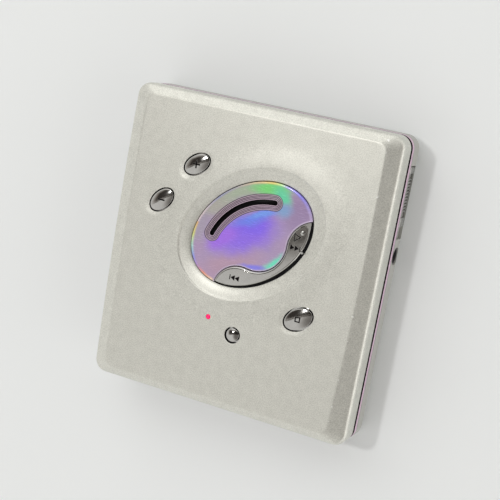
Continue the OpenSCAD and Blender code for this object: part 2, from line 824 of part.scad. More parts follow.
module jack_contacts() {
    color([0.85, 0.75, 0.45])
    box([half_w - 11.8, jack_y - 2.55, jack_z - 0.5], [half_w - 6.2, jack_y - 2.25, jack_z + 0.5]);
}

// Ribbed knob, raised at both ends, and the stem that goes through the wall
module open_slider() {
    knob_x = half_w - 0.8;
    rib_pitch = 0.8;
    rib_y = (slider_y0 + slider_y1) / 2 + 0.5 - rib_pitch * (slider_ribs - 1) / 2;
    color(chrome)
    union() {
        box([knob_x, slider_y0, slider_z0], [half_w - 0.4, slider_y1, slider_z1]);
        box([knob_x, slider_y0, slider_z0 + 0.2], [half_w, slider_y0 + 2.6, slider_z1 - 0.2]);
        box([knob_x, slider_y1 - 1.8, slider_z0 + 0.2], [half_w, slider_y1, slider_z1 - 0.2]);
        for (i = [0 : slider_ribs - 1])
            box([knob_x, rib_y + i * rib_pitch - 0.2, slider_z0 + 0.1],
                [half_w - 0.1, rib_y + i * rib_pitch + 0.2, slider_z1 - 0.1]);
        box([half_w - 2.05, 22.6, 3.6], [knob_x + 0.1, 25.9, 4.8]);
    }
}

module latch_plate() {
    plate_x = half_w - 2.85;
    color(steel)
    union() {
        box([plate_x, 15.6, 3], [plate_x + 0.8, 34.2, 5.7]);
        box([32.6, 34, 3], [plate_x + 0.8, 36.3, 5.7]);
        box([31.7, spring_y1, 3.3], [plate_x + 0.1, spring_y1 + 0.4, 5.5]);
    }
}

// Coil spring along Y: one unbroken tube, its rings worked out along the helix
spring_rings = 8 * spring_turns;
function spring_at(t) =
    [spring_x + spring_coil_r * cos(360 * spring_turns * t),
     spring_y0 + spring_wire + (spring_y1 - spring_y0 - 2 * spring_wire) * t,
     spring_z + spring_coil_r * sin(360 * spring_turns * t)];
function unit(v) = v / norm(v);
function spring_ring(t) =
    let (dir = unit(spring_at(t + 0.001) - spring_at(t - 0.001)),
         out = unit([cos(360 * spring_turns * t), 0, sin(360 * spring_turns * t)]),
         up = cross(dir, out))
    [for (k = [0 : 5]) spring_at(t) + spring_wire * (cos(60 * k) * out + sin(60 * k) * up)];
spring_gap = (spring_y1 - spring_y0 - 2 * spring_wire) / spring_turns - 2 * spring_wire;
echo(latch_spring_least_gap = spring_gap);

module latch_spring() {
    color(steel)
        loft([for (i = [0 : spring_rings]) spring_ring(i / spring_rings)]);
}

module hold_knob() {
    color([0.3, 0.3, 0.31])
    union() {
        box([hold_x0, -half_h + 0.05, 3.1], [hold_x0 + hold_l, -half_h + 0.55, 5.3]);
        box([hold_x0 + 1.4, -half_h + 0.5, 3.75], [hold_x0 + 2.6, -half_h + 1.9, 4.65]);
    }
}

module hold_switch() {
    color([0.2, 0.2, 0.21])
        box([19, -half_h + 2, board_top], [26.6, -half_h + 4.4, 5.5]);
}

module battery() {
    color([0.35, 0.5, 0.42])
    union() {
        box([cell_x0, cell_y0 + 0.6, floor_t + 0.05], [cell_x0 + cell[0], cell_y0 + cell[1], floor_t + 0.05 + cell[2]]);
        box([cell_x0 + 5.5, cell_y0, 2.2], [cell_x0 + 11.5, cell_y0 + 0.7, 5.6]);
    }
}

module battery_contacts() {
    color([0.85, 0.75, 0.45]) {
        box([-28, 33.1, 1.4], [-21, 33.5, 6]);
        box([-26.5, 30.9, 4.6], [-22.5, 33.2, 5]);
        box([-26.5, 30.9, 3], [-22.5, 31.3, 4.7]);
    }
}

// Door of the battery bay: a piece of the back cover's wall with a round hinge end
module battery_door() {
    color(grey)
    difference() {
        intersection() {
            loft(concat([for (r = back_rings()) if (r[0][2] < shell_top) r], [ring(0, 0, band_z - 0.05)]));
            union() {
                box([-32, -half_h - 1, 0], [door_x1, door_inner_y, band_z]);
                box([door_axis[0], -half_h - 1, 1.6], [-31.9, door_inner_y, shell_top - 0.1]);
                upright(door_axis, 1.25, 1.6, shell_top - 0.1);
            }
        }
        upright(door_axis, door_pin_r + 0.05, 0, 8, 32);
    }
}

module door_contact() {
    color([0.85, 0.75, 0.45]) {
        box([-28, door_inner_y, 1.8], [-21, door_inner_y + 0.3, 5.8]);
        box([-26.5, door_inner_y + 0.29, 3.2], [-22.5, cell_y0 - 0.1, 3.6]);
    }
}

module door_pin() {
    color(steel)
        upright(door_axis, door_pin_r, 0.95, band_z - 0.15, 32);
}

module case_screws() {
    color(steel)
    for (p = screw_points)
        difference() {
            union() {
                upright(p, 1.5, 0.1, 0.9, 32);
                upright(p, 0.7, 0.9 - eps, chassis_top, 24);
            }
            for (a = [0, 90])
                translate([p[0], p[1], 0])
                    rotate(a)
                        cube([1.9, 0.4, 0.9], center = true);
        }
}

front_cover();
badge_plate();
window_lens();
control_key();
volume_up_button();
volume_down_button();
stop_button();
mode_button();
indicator_lens();
indicator_lamp();
key_board();
switch_domes();
lid_hinge_plate();
lid_screws();
disc_holder();
mid_frame();
back_cover();
chassis();
hinge_pins();
main_board();
board_chips();
spindle_motor();
turntable();
clamp_magnet();
guide_rods();
pickup_sled();
lens_actuator();
objective_lens();
feed_motor();
feed_screw();
headphone_jack();
jack_contacts();
open_slider();
latch_plate();
latch_spring();
hold_knob();
hold_switch();
battery();
battery_contacts();
battery_door();
door_contact();
door_pin();
case_screws();
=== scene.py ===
# %% [markdown]
# # A portable minidisc player
#
# The solids of the player come from a imported model: every one is in metres, with the player lying on
# its back, +Z out of its front and +Y up its face. This notebook dresses that model. Pieces whose
# shape needs softer edges than the solids have are built again as meshes and hung on the body that
# carries them, and the other solids only get a finish.

import math
from functools import cached_property

import bmesh
import bpy
import numpy as np
from mathutils import Matrix, Vector
from mathutils.geometry import delaunay_2d_cdt


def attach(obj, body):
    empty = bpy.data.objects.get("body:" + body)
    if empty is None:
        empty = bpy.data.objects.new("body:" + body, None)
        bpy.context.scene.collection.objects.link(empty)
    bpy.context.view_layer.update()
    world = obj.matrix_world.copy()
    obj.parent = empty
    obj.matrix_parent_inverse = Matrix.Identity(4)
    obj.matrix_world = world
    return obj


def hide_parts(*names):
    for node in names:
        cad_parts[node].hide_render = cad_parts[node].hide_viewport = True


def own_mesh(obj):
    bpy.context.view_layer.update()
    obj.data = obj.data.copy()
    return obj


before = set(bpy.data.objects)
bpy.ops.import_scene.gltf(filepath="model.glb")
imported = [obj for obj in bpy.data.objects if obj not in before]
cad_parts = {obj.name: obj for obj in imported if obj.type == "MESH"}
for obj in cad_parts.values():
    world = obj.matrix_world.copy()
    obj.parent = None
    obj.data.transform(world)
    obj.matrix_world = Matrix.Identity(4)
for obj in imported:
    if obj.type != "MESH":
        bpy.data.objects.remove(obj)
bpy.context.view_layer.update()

# %% [markdown]
# ## Sizes
#
# Everything is thought out in millimetres, and one factor turns it into Blender's metres when a mesh
# is made. The sizes repeat the ones of the solids, so that a piece lands where the solid is. An oval
# has a middle, two half axes and a tilt.

# %% Sizes of the case and its controls
MM = 0.001
WIDTH, HEIGHT, FACE = 73.5, 78.3, 15.6
HALF_W, HALF_H = WIDTH / 2, HEIGHT / 2
RIM, BAND_LOW, SHELL_TOP = 9.35, 6.9, 6.35
CORNER = 3.4
BADGE, BADGE_A, BADGE_B, BADGE_TILT = (2.26, 7.27), 17.45, 12.6, math.radians(35.3)
BADGE_Z, BADGE_TOP = 14.75, 15.3
SLOT_C, SLOT_R, SLOT_HALF = (7.86, -0.57), 17.14, 0.64
SLOT_FROM, SLOT_TO = math.radians(92), math.radians(160)
OVALS = {
    "volume_up_button": ((-15.47, 21.54), 3.93, 2.49, math.radians(35.5)),
    "volume_down_button": ((-23.68, 10.51), 3.93, 2.49, math.radians(45.6)),
    "stop_button": ((18.99, -10.24), 4.17, 2.77, math.radians(34)),
    "mode_button": ((2.42, -18.89), 2.0, 2.0, 0.0),
}
LAMP, LAMP_R = (-4.99, -15.96), 0.68
print("case", WIDTH, "x", HEIGHT, "x", FACE, "mm")

# %% [markdown]
# ## The camera
#
# The straight edges of the face fix where the photographer stood: about 29 cm out from the face, up
# and to the right, with the camera rolled so that the player leans. The axes below are the camera's
# right, up and back in the player's own frame.

# %% Place the camera
def new_object(name, data):
    made = bpy.data.objects.new(name, data)
    bpy.context.scene.collection.objects.link(made)
    return made


lens = bpy.data.cameras.new("camera")
lens.lens, lens.sensor_width = 86.87, 36
lens.clip_start, lens.clip_end = 0.01, 20
right = np.array((0.8964, 0.1787, -0.4057))
up = np.array((-0.2370, 0.9665, -0.0980))
right /= np.linalg.norm(right)
up = up - right * (up @ right)
up /= np.linalg.norm(up)
back = np.cross(right, up)
place = np.array((115.95, 59.08, 273.97 + FACE)) * MM
camera = new_object("camera", lens)
camera.matrix_world = Matrix([*np.column_stack((right, up, back, place)).tolist(), [0, 0, 0, 1]])
bpy.context.scene.camera = camera
bpy.context.scene.view_settings.view_transform = "Standard"
print("camera at", place.round(3))

# %% [markdown]
# ## Shader maths as Python
#
# A material is a graph of small nodes. Written out node by node it is long and hard to read, so a
# wire through the graph is wrapped in a class whose `+`, `-`, `*` and `/` add the node that does the
# sum. One function adds every other kind of node: its settings come first, then what goes into it.

# %% A wire that can be reckoned with
def add_node(tree, kind, settings=None, inputs=None, output=0):
    """Adds a node, sets it up, fills or links its sockets, and returns a wire from one output."""
    made = tree.nodes.new(kind)
    for key, value in (settings or {}).items():
        setattr(made, key, value)
    for key, value in (inputs or {}).items():
        feed(tree, made.inputs[key], value)
    return Wire(tree, made.outputs[output])


def feed(tree, socket, value):
    """Links a wire to a socket, or writes a plain value on it."""
    if isinstance(value, Wire):
        tree.links.new(value.socket, socket)
    elif socket.type == "VECTOR" and isinstance(value, (int, float)):
        socket.default_value = (value, value, value)
    elif socket.type == "RGBA":
        socket.default_value = (*value, 1)
    else:
        socket.default_value = value


class Wire:
    """One value on its way through a material."""

    def __init__(self, tree, socket):
        self.tree = tree
        self.socket = socket

    def join(self, operation, first, second):
        kind = "ShaderNodeVectorMath" if self.socket.type == "VECTOR" else "ShaderNodeMath"
        return add_node(self.tree, kind, {"operation": operation}, {0: first, 1: second})

    def __add__(self, other):
        return self.join("ADD", self, other)

    def __radd__(self, other):
        return self.join("ADD", other, self)

    def __sub__(self, other):
        return self.join("SUBTRACT", self, other)

    def __rsub__(self, other):
        return self.join("SUBTRACT", other, self)

    def __mul__(self, other):
        return self.join("MULTIPLY", self, other)

    def __truediv__(self, other):
        return self.join("DIVIDE", self, other)

    def sum(self, operation, *others):
        """A sum by its name, such as SINE or MAXIMUM."""
        return add_node(self.tree, "ShaderNodeMath", {"operation": operation}, dict(enumerate((self, *others))))

    def size(self):
        return self.sum("ABSOLUTE")

    def step(self, low, high):
        """0 below low, 1 above high, and a smooth rise between."""
        return add_node(self.tree, "ShaderNodeMapRange", {"interpolation_type": "SMOOTHSTEP"},
                        {"Value": self, "From Min": low, "From Max": high})

    def part(self, axis):
        """One of a vector's three numbers."""
        return add_node(self.tree, "ShaderNodeSeparateXYZ", {}, {0: self}, "XYZ".index(axis))

    def blend(self, first, second):
        """first where this wire is 0, second where it is 1, both colours."""
        return add_node(self.tree, "ShaderNodeMix", {"data_type": "RGBA"}, {0: self, 6: first, 7: second}, 2)


def either(first, *others):
    """The greatest of some wires."""
    for other in others:
        first = first.sum("MAXIMUM", other)
    return first


def turned(x, y, centre, tilt):
    """x and y, be they numbers, arrays or wires, read along axes that start at centre and are tilted."""
    c, s = math.cos(tilt), math.sin(tilt)
    dx, dy = x - centre[0], y - centre[1]
    return dx * c + dy * s, dy * c - dx * s


print("wires ready")

# %% [markdown]
# ## A finish
#
# A finish is one Principled shader with a few named knobs. Its helpers read a point of the piece in
# millimetres, which stays with the piece when it moves, and turn a height into a bump.

# %% The finish class
class Finish:
    """A material under construction."""

    def __init__(self, name, base, roughness=0.5, metallic=0.0, **knobs):
        self.material = bpy.data.materials.new(name)
        self.material.use_nodes = True
        self.material.diffuse_color = (*base, 1)
        self.tree = self.material.node_tree
        self.set(Base_Color=base, Roughness=roughness, Metallic=metallic, **knobs)

    def set(self, **knobs):
        for key, value in knobs.items():
            feed(self.tree, self.tree.nodes["Principled BSDF"].inputs[key.replace("_", " ")], value)

    def add(self, kind, settings=None, inputs=None, output=0):
        return add_node(self.tree, kind, settings, inputs, output)

    @cached_property
    def at(self):
        """The place on the piece, in millimetres."""
        return self.add("ShaderNodeTexCoord", output=3) * (1 / MM)

    @cached_property
    def x(self):
        return self.at.part("X")

    @cached_property
    def y(self):
        return self.at.part("Y")

    def away(self, centre):
        """How far the place is from an upright line through centre."""
        dx, dy = self.x - centre[0], self.y - centre[1]
        return (dx * dx + dy * dy).sum("SQRT")

    def noise(self, size, detail=2.0, stretch=None):
        """Cloudy variation from 0 to 1, with spots of about that many millimetres."""
        at = self.at * stretch if stretch else self.at
        return self.add("ShaderNodeTexNoise", {}, {"Vector": at, "Scale": 1 / size, "Detail": detail})

    def mottle(self, size, first, second, detail=2.0):
        """Clouds of two colours."""
        self.set(Base_Color=self.noise(size, detail).blend(first, second))

    def bump(self, height, depth, strength):
        """Feeds a height, of that many millimetres for a step of one, to the shader's normal."""
        sockets = {"Strength": strength, "Distance": depth * MM, "Height": height}
        self.set(Normal=self.add("ShaderNodeBump", {}, sockets))


def dress(finish, *nodes):
    """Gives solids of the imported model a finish."""
    for node in nodes:
        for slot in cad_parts[node].material_slots:
            slot.material = finish.material


print("finishes ready")

# %% [markdown]
# ## Making a piece
#
# A piece starts as a loose form: a list of points and a list of faces, mostly a stack of rings. Once
# it is whole it is told which body carries it and which solid it stands for, and that solid is hidden.
# Faces that meet at less than a set angle are shaded as one smooth surface.

# %% From points to a piece
def face_outwards(mesh):
    helper = bmesh.new()
    helper.from_mesh(mesh)
    bmesh.ops.recalc_face_normals(helper, faces=helper.faces)
    helper.to_mesh(mesh)
    helper.free()


def form(points, faces, finish=None):
    """A loose object in millimetres. In a cut, its finish is left on the faces that it cuts."""
    mesh = bpy.data.meshes.new("form")
    mesh.from_pydata([tuple(c * MM for c in p) for p in points], [], faces)
    if finish:
        mesh.materials.append(finish.material)
    face_outwards(mesh)
    return new_object("form", mesh)


def settle(made, name, body, stands_for=None, smooth=35):
    """Names a form, shades it and hangs it on its body."""
    made.name = made.data.name = name
    face_outwards(made.data)
    made.data.shade_smooth()
    made.data.set_sharp_from_angle(angle=math.radians(smooth))
    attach(made, body)
    if stands_for:
        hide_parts(stands_for)


def loop_faces(rings, count, closed=False):
    """Quads between rings of count points each, and back to the first ring if closed."""
    faces = []
    for j in range(rings if closed else rings - 1):
        a, b = j * count, (j + 1) % rings * count
        faces += [(a + i, a + (i + 1) % count, b + (i + 1) % count, b + i) for i in range(count)]
    return faces


def stack(rings, finish=None):
    """A closed form through rings of points, with a flat cap at each end."""
    count = len(rings[0])
    total = len(rings) * count
    caps = [tuple(range(count - 1, -1, -1)), tuple(range(total - count, total))]
    return form([p for ring in rings for p in ring], loop_faces(len(rings), count) + caps, finish)


def raised(flat, z):
    """Flat points with a height: one for all of them, or one for each."""
    return np.column_stack((flat, np.broadcast_to(z, len(flat))))


print("pieces can be made")

# %% [markdown]
# Openings are cut with Blender's Boolean modifier: a cutter is a closed form that is taken away from
# the piece, and then thrown away itself. Simple cutters are boxes and prisms over an outline.

# %% Cutting one form with others
def prism(outline, low, high, finish=None):
    return stack([raised(outline, low), raised(outline, high)], finish)


def block(low, high, finish=None):
    (x0, y0, z0), (x1, y1, z1) = low, high
    return prism([(x0, y0), (x1, y0), (x1, y1), (x0, y1)], z0, z1, finish)


def cut(target, cutters, operation="DIFFERENCE"):
    """Applies each cutter to the target's mesh and removes it."""
    for cutter in cutters:
        modifier = target.modifiers.new("cut", "BOOLEAN")
        modifier.operation = operation
        modifier.solver = "EXACT"
        modifier.material_mode = "TRANSFER"
        modifier.object = cutter
        graph = bpy.context.evaluated_depsgraph_get()
        mesh = bpy.data.meshes.new_from_object(target.evaluated_get(graph))
        target.modifiers.clear()
        old, target.data = target.data, mesh
        bpy.data.meshes.remove(old)
        bpy.data.objects.remove(cutter)


print("cut() ready")

# %% [markdown]
# ## The outline of the case
#
# The case is a rectangle with round corners whose left side bows out a little. Every ring of the
# shell is this outline drawn in by some amount, so one function makes them all. The rings are read
# off along the same rays from the middle of the badge, and that keeps the mesh free of twists.

# %% Outline rings
RAYS = 720
LEFT_BOW = 0.5
SKIN = 0.02
CREASE_BOW = 0.9
CORNER_STEPS, SIDE_STEPS = 24, 60
FULL_TURN = 2 * math.pi


def arc(centre, radius, start, end, count=90):
    t = np.linspace(start, end, count)
    return np.column_stack((centre[0] + radius * np.cos(t), centre[1] + radius * np.sin(t)))


def corner_points(side_in, end_in, radius):
    """A rounded rectangle, drawn in at the sides and at the ends, with evenly spread points."""
    x, y = HALF_W - side_in - radius, HALF_H - end_in - radius
    corners = [arc(c, radius, math.radians(a), math.radians(a + 90), CORNER_STEPS + 1)
               for c, a in (((x, -y), -90), ((x, y), 0), ((-x, y), 90), ((-x, -y), 180))]
    points = []
    for here, there in zip(corners, corners[1:] + corners[:1]):
        points += [here, np.linspace(here[-1], there[0], SIDE_STEPS, endpoint=False)[1:]]
    return np.vstack(points)


def bow(points, crease):
    """Draws the left side's ends in, and widens the right bevel away from its narrowest place."""
    x, y = points.T
    draw = np.where(x < 0, LEFT_BOW * ((y - 5) / HALF_H) ** 2, -crease * ((y - 12) / HALF_H) ** 2)
    return np.column_stack((x + draw * np.minimum(1, np.abs(x) / HALF_W), y))


def angles_of(points):
    """The angles of some points seen from the badge's middle."""
    x, y = (points - np.array(BADGE)).T
    return np.arctan2(y, x) % FULL_TURN


def ray_angles():
    """Rays as evenly spread along the outline as its points, so closer together at the corners."""
    angle = np.sort(angles_of(bow(corner_points(0, 0, CORNER), 0)))
    step = np.linspace(0, len(angle), RAYS, endpoint=False)
    return np.interp(step, np.arange(len(angle) + 1), np.append(angle, angle[0] + FULL_TURN))


RAY_ANGLE = ray_angles()


def on_rays(reach, z):
    """Points on the rays, so far from the badge's middle."""
    flat = np.column_stack((BADGE[0] + reach * np.cos(RAY_ANGLE), BADGE[1] + reach * np.sin(RAY_ANGLE)))
    return raised(flat, z)


def ring(side_in, end_in, z, crease=0.0, radius=None):
    """The case's outline, drawn in and raised, where the rays cross it."""
    side_in, end_in = max(side_in, SKIN), max(end_in, SKIN)
    radius = radius or max(0.4, CORNER - max(side_in, end_in))
    points = bow(corner_points(side_in, end_in, radius), crease)
    angle = angles_of(points)
    order = np.argsort(angle)
    a = np.concatenate([angle[order] + turn for turn in (-FULL_TURN, 0, FULL_TURN)])
    r = np.hypot(points[:, 0] - BADGE[0], points[:, 1] - BADGE[1])[order]
    return on_rays(np.interp(RAY_ANGLE, a, np.tile(r, 3)), z)


def oval_ring(grow_a, grow_b, z):
    """The badge's oval, grown, where the same rays cross it."""
    turn = RAY_ANGLE - BADGE_TILT
    return on_rays(1 / np.hypot(np.cos(turn) / (BADGE_A + grow_a), np.sin(turn) / (BADGE_B + grow_b)), z)


def oval_points(centre, a, b, tilt, angles):
    """A tilted oval at the given angles, or at that many even ones."""
    t = np.linspace(0, FULL_TURN, angles, endpoint=False) if isinstance(angles, int) else angles
    x, y = turned(a * np.cos(t), b * np.sin(t), (0, 0), -tilt)
    return np.column_stack((centre[0] + x, centre[1] + y))


def circle(centre, radius, count=32):
    return oval_points(centre, radius, radius, 0, count)


print(RAYS, "rays, first ring spans", np.ptp(ring(0, 0, 0)[:, :2], axis=0).round(2))

# %% [markdown]
# ## Silver paint
#
# The lid is moulded plastic under a satin silver paint. Paint of this kind holds tiny flakes that
# glint one by one, so close up the colour sparkles and from afar it is a soft grey white. Fine noise
# does that: it lifts and lowers the colour a little and tilts the surface. Along the right crease the
# colour is lifted to near white in small bright spots.

# %% The lid's paint
CREASE_X = 32.75
silver = Finish("silver_paint", (0.62, 0.62, 0.56), 0.45, 0.75)
flake = silver.noise(0.26, 1.0)
shade = (flake * 0.8 + silver.noise(2.2) * 0.2).step(0.25, 0.75)
paint = shade.blend((0.55, 0.55, 0.505), (0.76, 0.76, 0.705))
# Near-white spots in a narrow line along the right crease
bend = (silver.y - 12) * (1 / HALF_H)
off_crease = (silver.x + bend * bend * 0.8 - CREASE_X).size()
crease_bright_spots = (1 - off_crease.step(0.12, 0.4)) * silver.noise(0.9, 1.0).step(0.68, 0.74)
silver.set(Base_Color=crease_bright_spots.blend(paint, (0.95, 0.95, 0.93)), Roughness=0.37 + flake * 0.13)
silver.bump(flake * 0.7 + silver.noise(0.6) * 0.3, 0.011, 0.5)
print("silver paint has", len(silver.tree.nodes), "nodes")

# %% [markdown]
# Inside its openings the lid is bare dark plastic, because masks keep the paint off there, and that
# plastic is made nearly black as painted shade for the narrow gaps. That dark wall is what draws the fine
# black ring round every button.

# %% Unpainted walls, darkened as painted shade
# Nearly black: painted shade on the walls of the gaps and openings
gap_shade = Finish("gap_shade_plastic", (0.006, 0.006, 0.007), 0.7, Specular_IOR_Level=0.15)
gap_shade.mottle(1.1, (0.004, 0.004, 0.005), (0.009, 0.009, 0.010))
gap_shade.set(Roughness=0.6 + gap_shade.noise(0.8) * 0.2)
gap_shade.bump(gap_shade.noise(0.3), 0.01, 0.3)
print("unpainted plastic ready")

# %% [markdown]
# ## The front cover
#
# The lid is one closed shell. Its rings start at the rim, climb the wall, turn over the shoulder, run
# up the bevel to the crease, cross the face to the dish, and go down through the badge's opening and
# back along the inside. A height function on the face adds the swelling round the dish and the
# shallow hollows that a thumb feels round the buttons.

# %% The height of the face
SWELL, SWELL_REACH, SWELL_A, SWELL_B = 0.34, 4.4, 21.0, 15.9
# Per button: how far the hollow is off the button's middle, how deep it is and how far it reaches
HOLLOWS = {
    "volume_up_button": (-0.3, -0.35, 0.2, 1.1),
    "volume_down_button": (-0.35, -0.1, 0.2, 1.0),
    "stop_button": (-0.35, -0.15, 0.2, 1.0),
    "mode_button": (0, 0, 0.1, 0.5),
}


def hollow(x, y, centre, a, b, tilt, depth, reach):
    """A shallow dent round an oval: deepest at the oval, gone at reach millimetres outside it."""
    u, v = turned(x, y, centre, tilt)
    return depth * np.clip(1 - np.hypot(u / (a + reach), v / (b + reach)) ** 4, 0, 1)


def face_height(x, y):
    u, v = turned(x, y, BADGE, BADGE_TILT)
    away = (np.hypot(u / SWELL_A, v / SWELL_B) - 1) * 18
    z = FACE + SWELL * np.exp(-(np.clip(away, 0, None) / SWELL_REACH) ** 2)
    for name, (off_x, off_y, depth, reach) in HOLLOWS.items():
        centre, a, b, tilt = OVALS[name]
        z = z - hollow(x, y, (centre[0] + off_x, centre[1] + off_y), a, b, tilt, depth, reach)
    beside = OVALS["volume_up_button"][0]
    return z - hollow(x, y, (beside[0] - 2.3, beside[1] - 3.3), 2.4, 0.6, math.radians(56), 0.05, 0.9)


print("the face is", round(float(face_height(10.0, 27.5)), 3), "mm high above the dish")

# %% The shell's rings
WALL_UP = [(0, 0, RIM), (0, 0, RIM + 0.12), (0, 0, 11.4), (0, 0, 12.9), (0.02, 0.02, 13.25), (0.07, 0.06, 13.55),
           (0.16, 0.14, 13.82), (0.3, 0.26, 14.07), (0.5, 0.43, 14.28), (0.78, 0.62, 14.46)]
CREASE_SIDE, CREASE_END = 3.9, 2.4
DISH = [(3.52, 0.32), (3.44, 0.27), (3.36, 0.20), (3.28, 0.14), (3.2, 0.10), (3.1, 0.08), (2.9, 0.05), (2.5, -0.01),
        (2.1, -0.07), (1.7, -0.14), (1.3, -0.22), (0.95, -0.30), (0.65, -0.38), (0.4, -0.46), (0.22, -0.54),
        (0.1, -0.62)]
CEILING, SHELF = 14.5, 13.6
rings = [ring(*step) for step in WALL_UP]
side_in, end_in, shoulder = WALL_UP[-1]
for t in (0.12, 0.3, 0.5, 0.7, 0.86, 0.95):
    rings.append(ring(side_in + (CREASE_SIDE - side_in) * t, end_in + (CREASE_END - end_in) * t,
                      shoulder + (FACE - shoulder) * t, CREASE_BOW * t, radius=3.0 - 0.6 * t))
crease = ring(CREASE_SIDE + 0.08, CREASE_END + 0.08, FACE - 0.015, CREASE_BOW, radius=2.4)
rings.append(crease)
dish_rim = oval_ring(3.6, 3.35, FACE)
for t in np.concatenate(([0.012, 0.03], np.linspace(0.05, 0.9, 66), np.linspace(0.91, 1, 12))):
    flat = crease[:, :2] * (1 - t) + dish_rim[:, :2] * t
    rings.append(raised(flat, face_height(*flat.T)))
rings += [oval_ring(g, g * 0.93, FACE + z) for g, z in DISH]
rings += [oval_ring(g, g, z) for g, z in ((0.1, BADGE_Z), (-1.2, BADGE_Z), (-1.2, CEILING))]
first_dark = len(rings) - 3
rings += [ring(4.55, 3.35, z, radius=1.2) for z in (CEILING, SHELF)] + [ring(1, 1, z) for z in (SHELF, RIM)]
print("the lid's shell has", len(rings) * RAYS, "points")

# %% [markdown]
# The openings for the buttons are cut a hair wider than the buttons, which leaves the thin black ring
# that shows round each of them. The left wall's lower edge is cut back under the hinge, or it would
# hit the frame as the lid opens, and two thumb dimples are pressed into the top side.

# %% Cut the openings
HINGE_X, HINGE_Z, LID_OPENS = -HALF_W + 3.15, 12.0, math.radians(30)
OPENING_GAP = 0.17
THROUGH_FACE = (13.4, 17)
DIMPLE, DIMPLE_OUT, DIMPLE_UP = (2.6, 1.15, 1.2), 0.55, 2.1


def under_hinge():
    """What the left wall may not fill: the wedge that the frame takes in the lid's own axes."""
    reach = HINGE_Z - RIM - 0.05
    corner_x = HINGE_X - (reach - (HINGE_Z - RIM) * math.cos(LID_OPENS)) / math.sin(LID_OPENS)
    edge_x = -HALF_W - 1
    edge_z = HINGE_Z - (reach + (edge_x - HINGE_X) * math.sin(LID_OPENS)) / math.cos(LID_OPENS)
    section = [(corner_x, RIM - 1), (corner_x, RIM), (edge_x, edge_z), (edge_x, RIM - 1)]
    return stack([[(x, y, z) for x, z in section] for y in (-HALF_H - 1, HALF_H + 1)])


def dimple(x):
    """A stretched ball that presses a thumb dimple into the top side."""
    wide, deep, tall = DIMPLE
    rows = []
    for p in np.linspace(0.02, math.pi - 0.02, 16):
        flat = [(x + wide * math.sin(p) * math.cos(q), HALF_H + DIMPLE_OUT + deep * math.sin(p) * math.sin(q))
                for q in np.linspace(0, FULL_TURN, 32, endpoint=False)]
        rows.append(raised(flat, RIM + DIMPLE_UP - tall * math.cos(p)))
    return stack(rows)


lid = form(np.vstack(rings), loop_faces(len(rings), RAYS, closed=True), silver)
lid.data.materials.append(gap_shade.material)
# Faces down in the badge's opening get the near-black painted shade
for face in lid.data.polygons:
    low_ring, high_ring = face.vertices[0] // RAYS, face.vertices[2] // RAYS
    face.material_index = int(low_ring >= first_dark and high_ring > first_dark)
# The cutters leave the near-black painted shade on the walls of the openings
openings = [prism(oval_points(centre, a + OPENING_GAP, b + OPENING_GAP, tilt, 72), *THROUGH_FACE, gap_shade)
            for centre, a, b, tilt in OVALS.values()]
openings.append(prism(circle(LAMP, LAMP_R), *THROUGH_FACE, gap_shade))
cut(lid, openings + [under_hinge(), dimple(-26), dimple(25.5)])
settle(lid, "lid_shell", "lid", "front_cover", smooth=24)
print("lid shell cut, now", len(lid.data.polygons), "faces")

# %% [markdown]
# ## The badge and the crescent
#
# The oval badge is split by a wavy line made of three arcs that flow into each other: a lobe, the
# round waist of the badge, and another lobe. Below the line lies the crescent key. One function walks
# along the three arcs between the two places where they meet the oval, and both pieces use it, so the
# gap between them is the same all along.

# %% The wavy line
WAIST, WAIST_R = (4.43, 6.38), 7.95
UPPER, UPPER_R = (19.97, 6.78), 7.6
LOWER, LOWER_R = (1.49, -8.25), 6.95
BADGE_GAP, KEY_GAP = -0.12, -0.45


def heading(a, b):
    return math.atan2(b[1] - a[1], b[0] - a[0])


def within_badge(points, grow):
    """Those points that lie inside the badge's oval, grown by that much."""
    u, v = turned(*points.T, BADGE, BADGE_TILT)
    return points[(u / (BADGE_A + grow)) ** 2 + (v / (BADGE_B + grow)) ** 2 < 1]


def wavy_line(gap, grow):
    """From the lower left to the upper right, gap millimetres on the badge's side of the line."""
    low_turn, up_turn = heading(LOWER, WAIST), heading(WAIST, UPPER)
    low = within_badge(arc(LOWER, LOWER_R + gap, math.radians(215), low_turn, 400), grow)
    mid = arc(WAIST, WAIST_R - gap, low_turn - math.pi, up_turn, 160)
    high = within_badge(arc(UPPER, UPPER_R + gap, up_turn + math.pi, math.radians(85), 400), grow)
    return np.vstack((low[::4], mid[1:-1], high[::4]))


def oval_between(first, last, grow, clockwise):
    """The badge's oval from one point round to another."""
    def angle(point):
        u, v = turned(*point, BADGE, BADGE_TILT)
        return math.atan2(v / (BADGE_B + grow), u / (BADGE_A + grow))
    a, b = angle(first), angle(last)
    if clockwise and b > a:
        b -= FULL_TURN
    if not clockwise and b < a:
        b += FULL_TURN
    steps = np.linspace(a, b, max(8, int(abs(b - a) / math.radians(1.5))))
    return oval_points(BADGE, BADGE_A + grow, BADGE_B + grow, BADGE_TILT, steps)[1:-1]


badge_line = wavy_line(0.17, BADGE_GAP)
badge_outline = np.vstack((badge_line, oval_between(badge_line[-1], badge_line[0], BADGE_GAP, False)))
key_line = wavy_line(0.0, KEY_GAP)
key_back = oval_between(key_line[-1], key_line[0], KEY_GAP, True)
# The gap behind the key is widest at its right, where the key is drawn in towards the badge's middle
draw = np.clip((key_back[:, 0] + 2) / 14, 0, 1) * np.clip((key_line[-1][1] - key_back[:, 1]) / 2.5, 0, 1) * 0.3
inward = np.array(BADGE) - key_back
key_back = key_back + inward / np.linalg.norm(inward, axis=1)[:, None] * draw[:, None]
key_outline = np.vstack((key_line, key_back))
print("badge outline", len(badge_outline), "points, key outline", len(key_outline), "points")

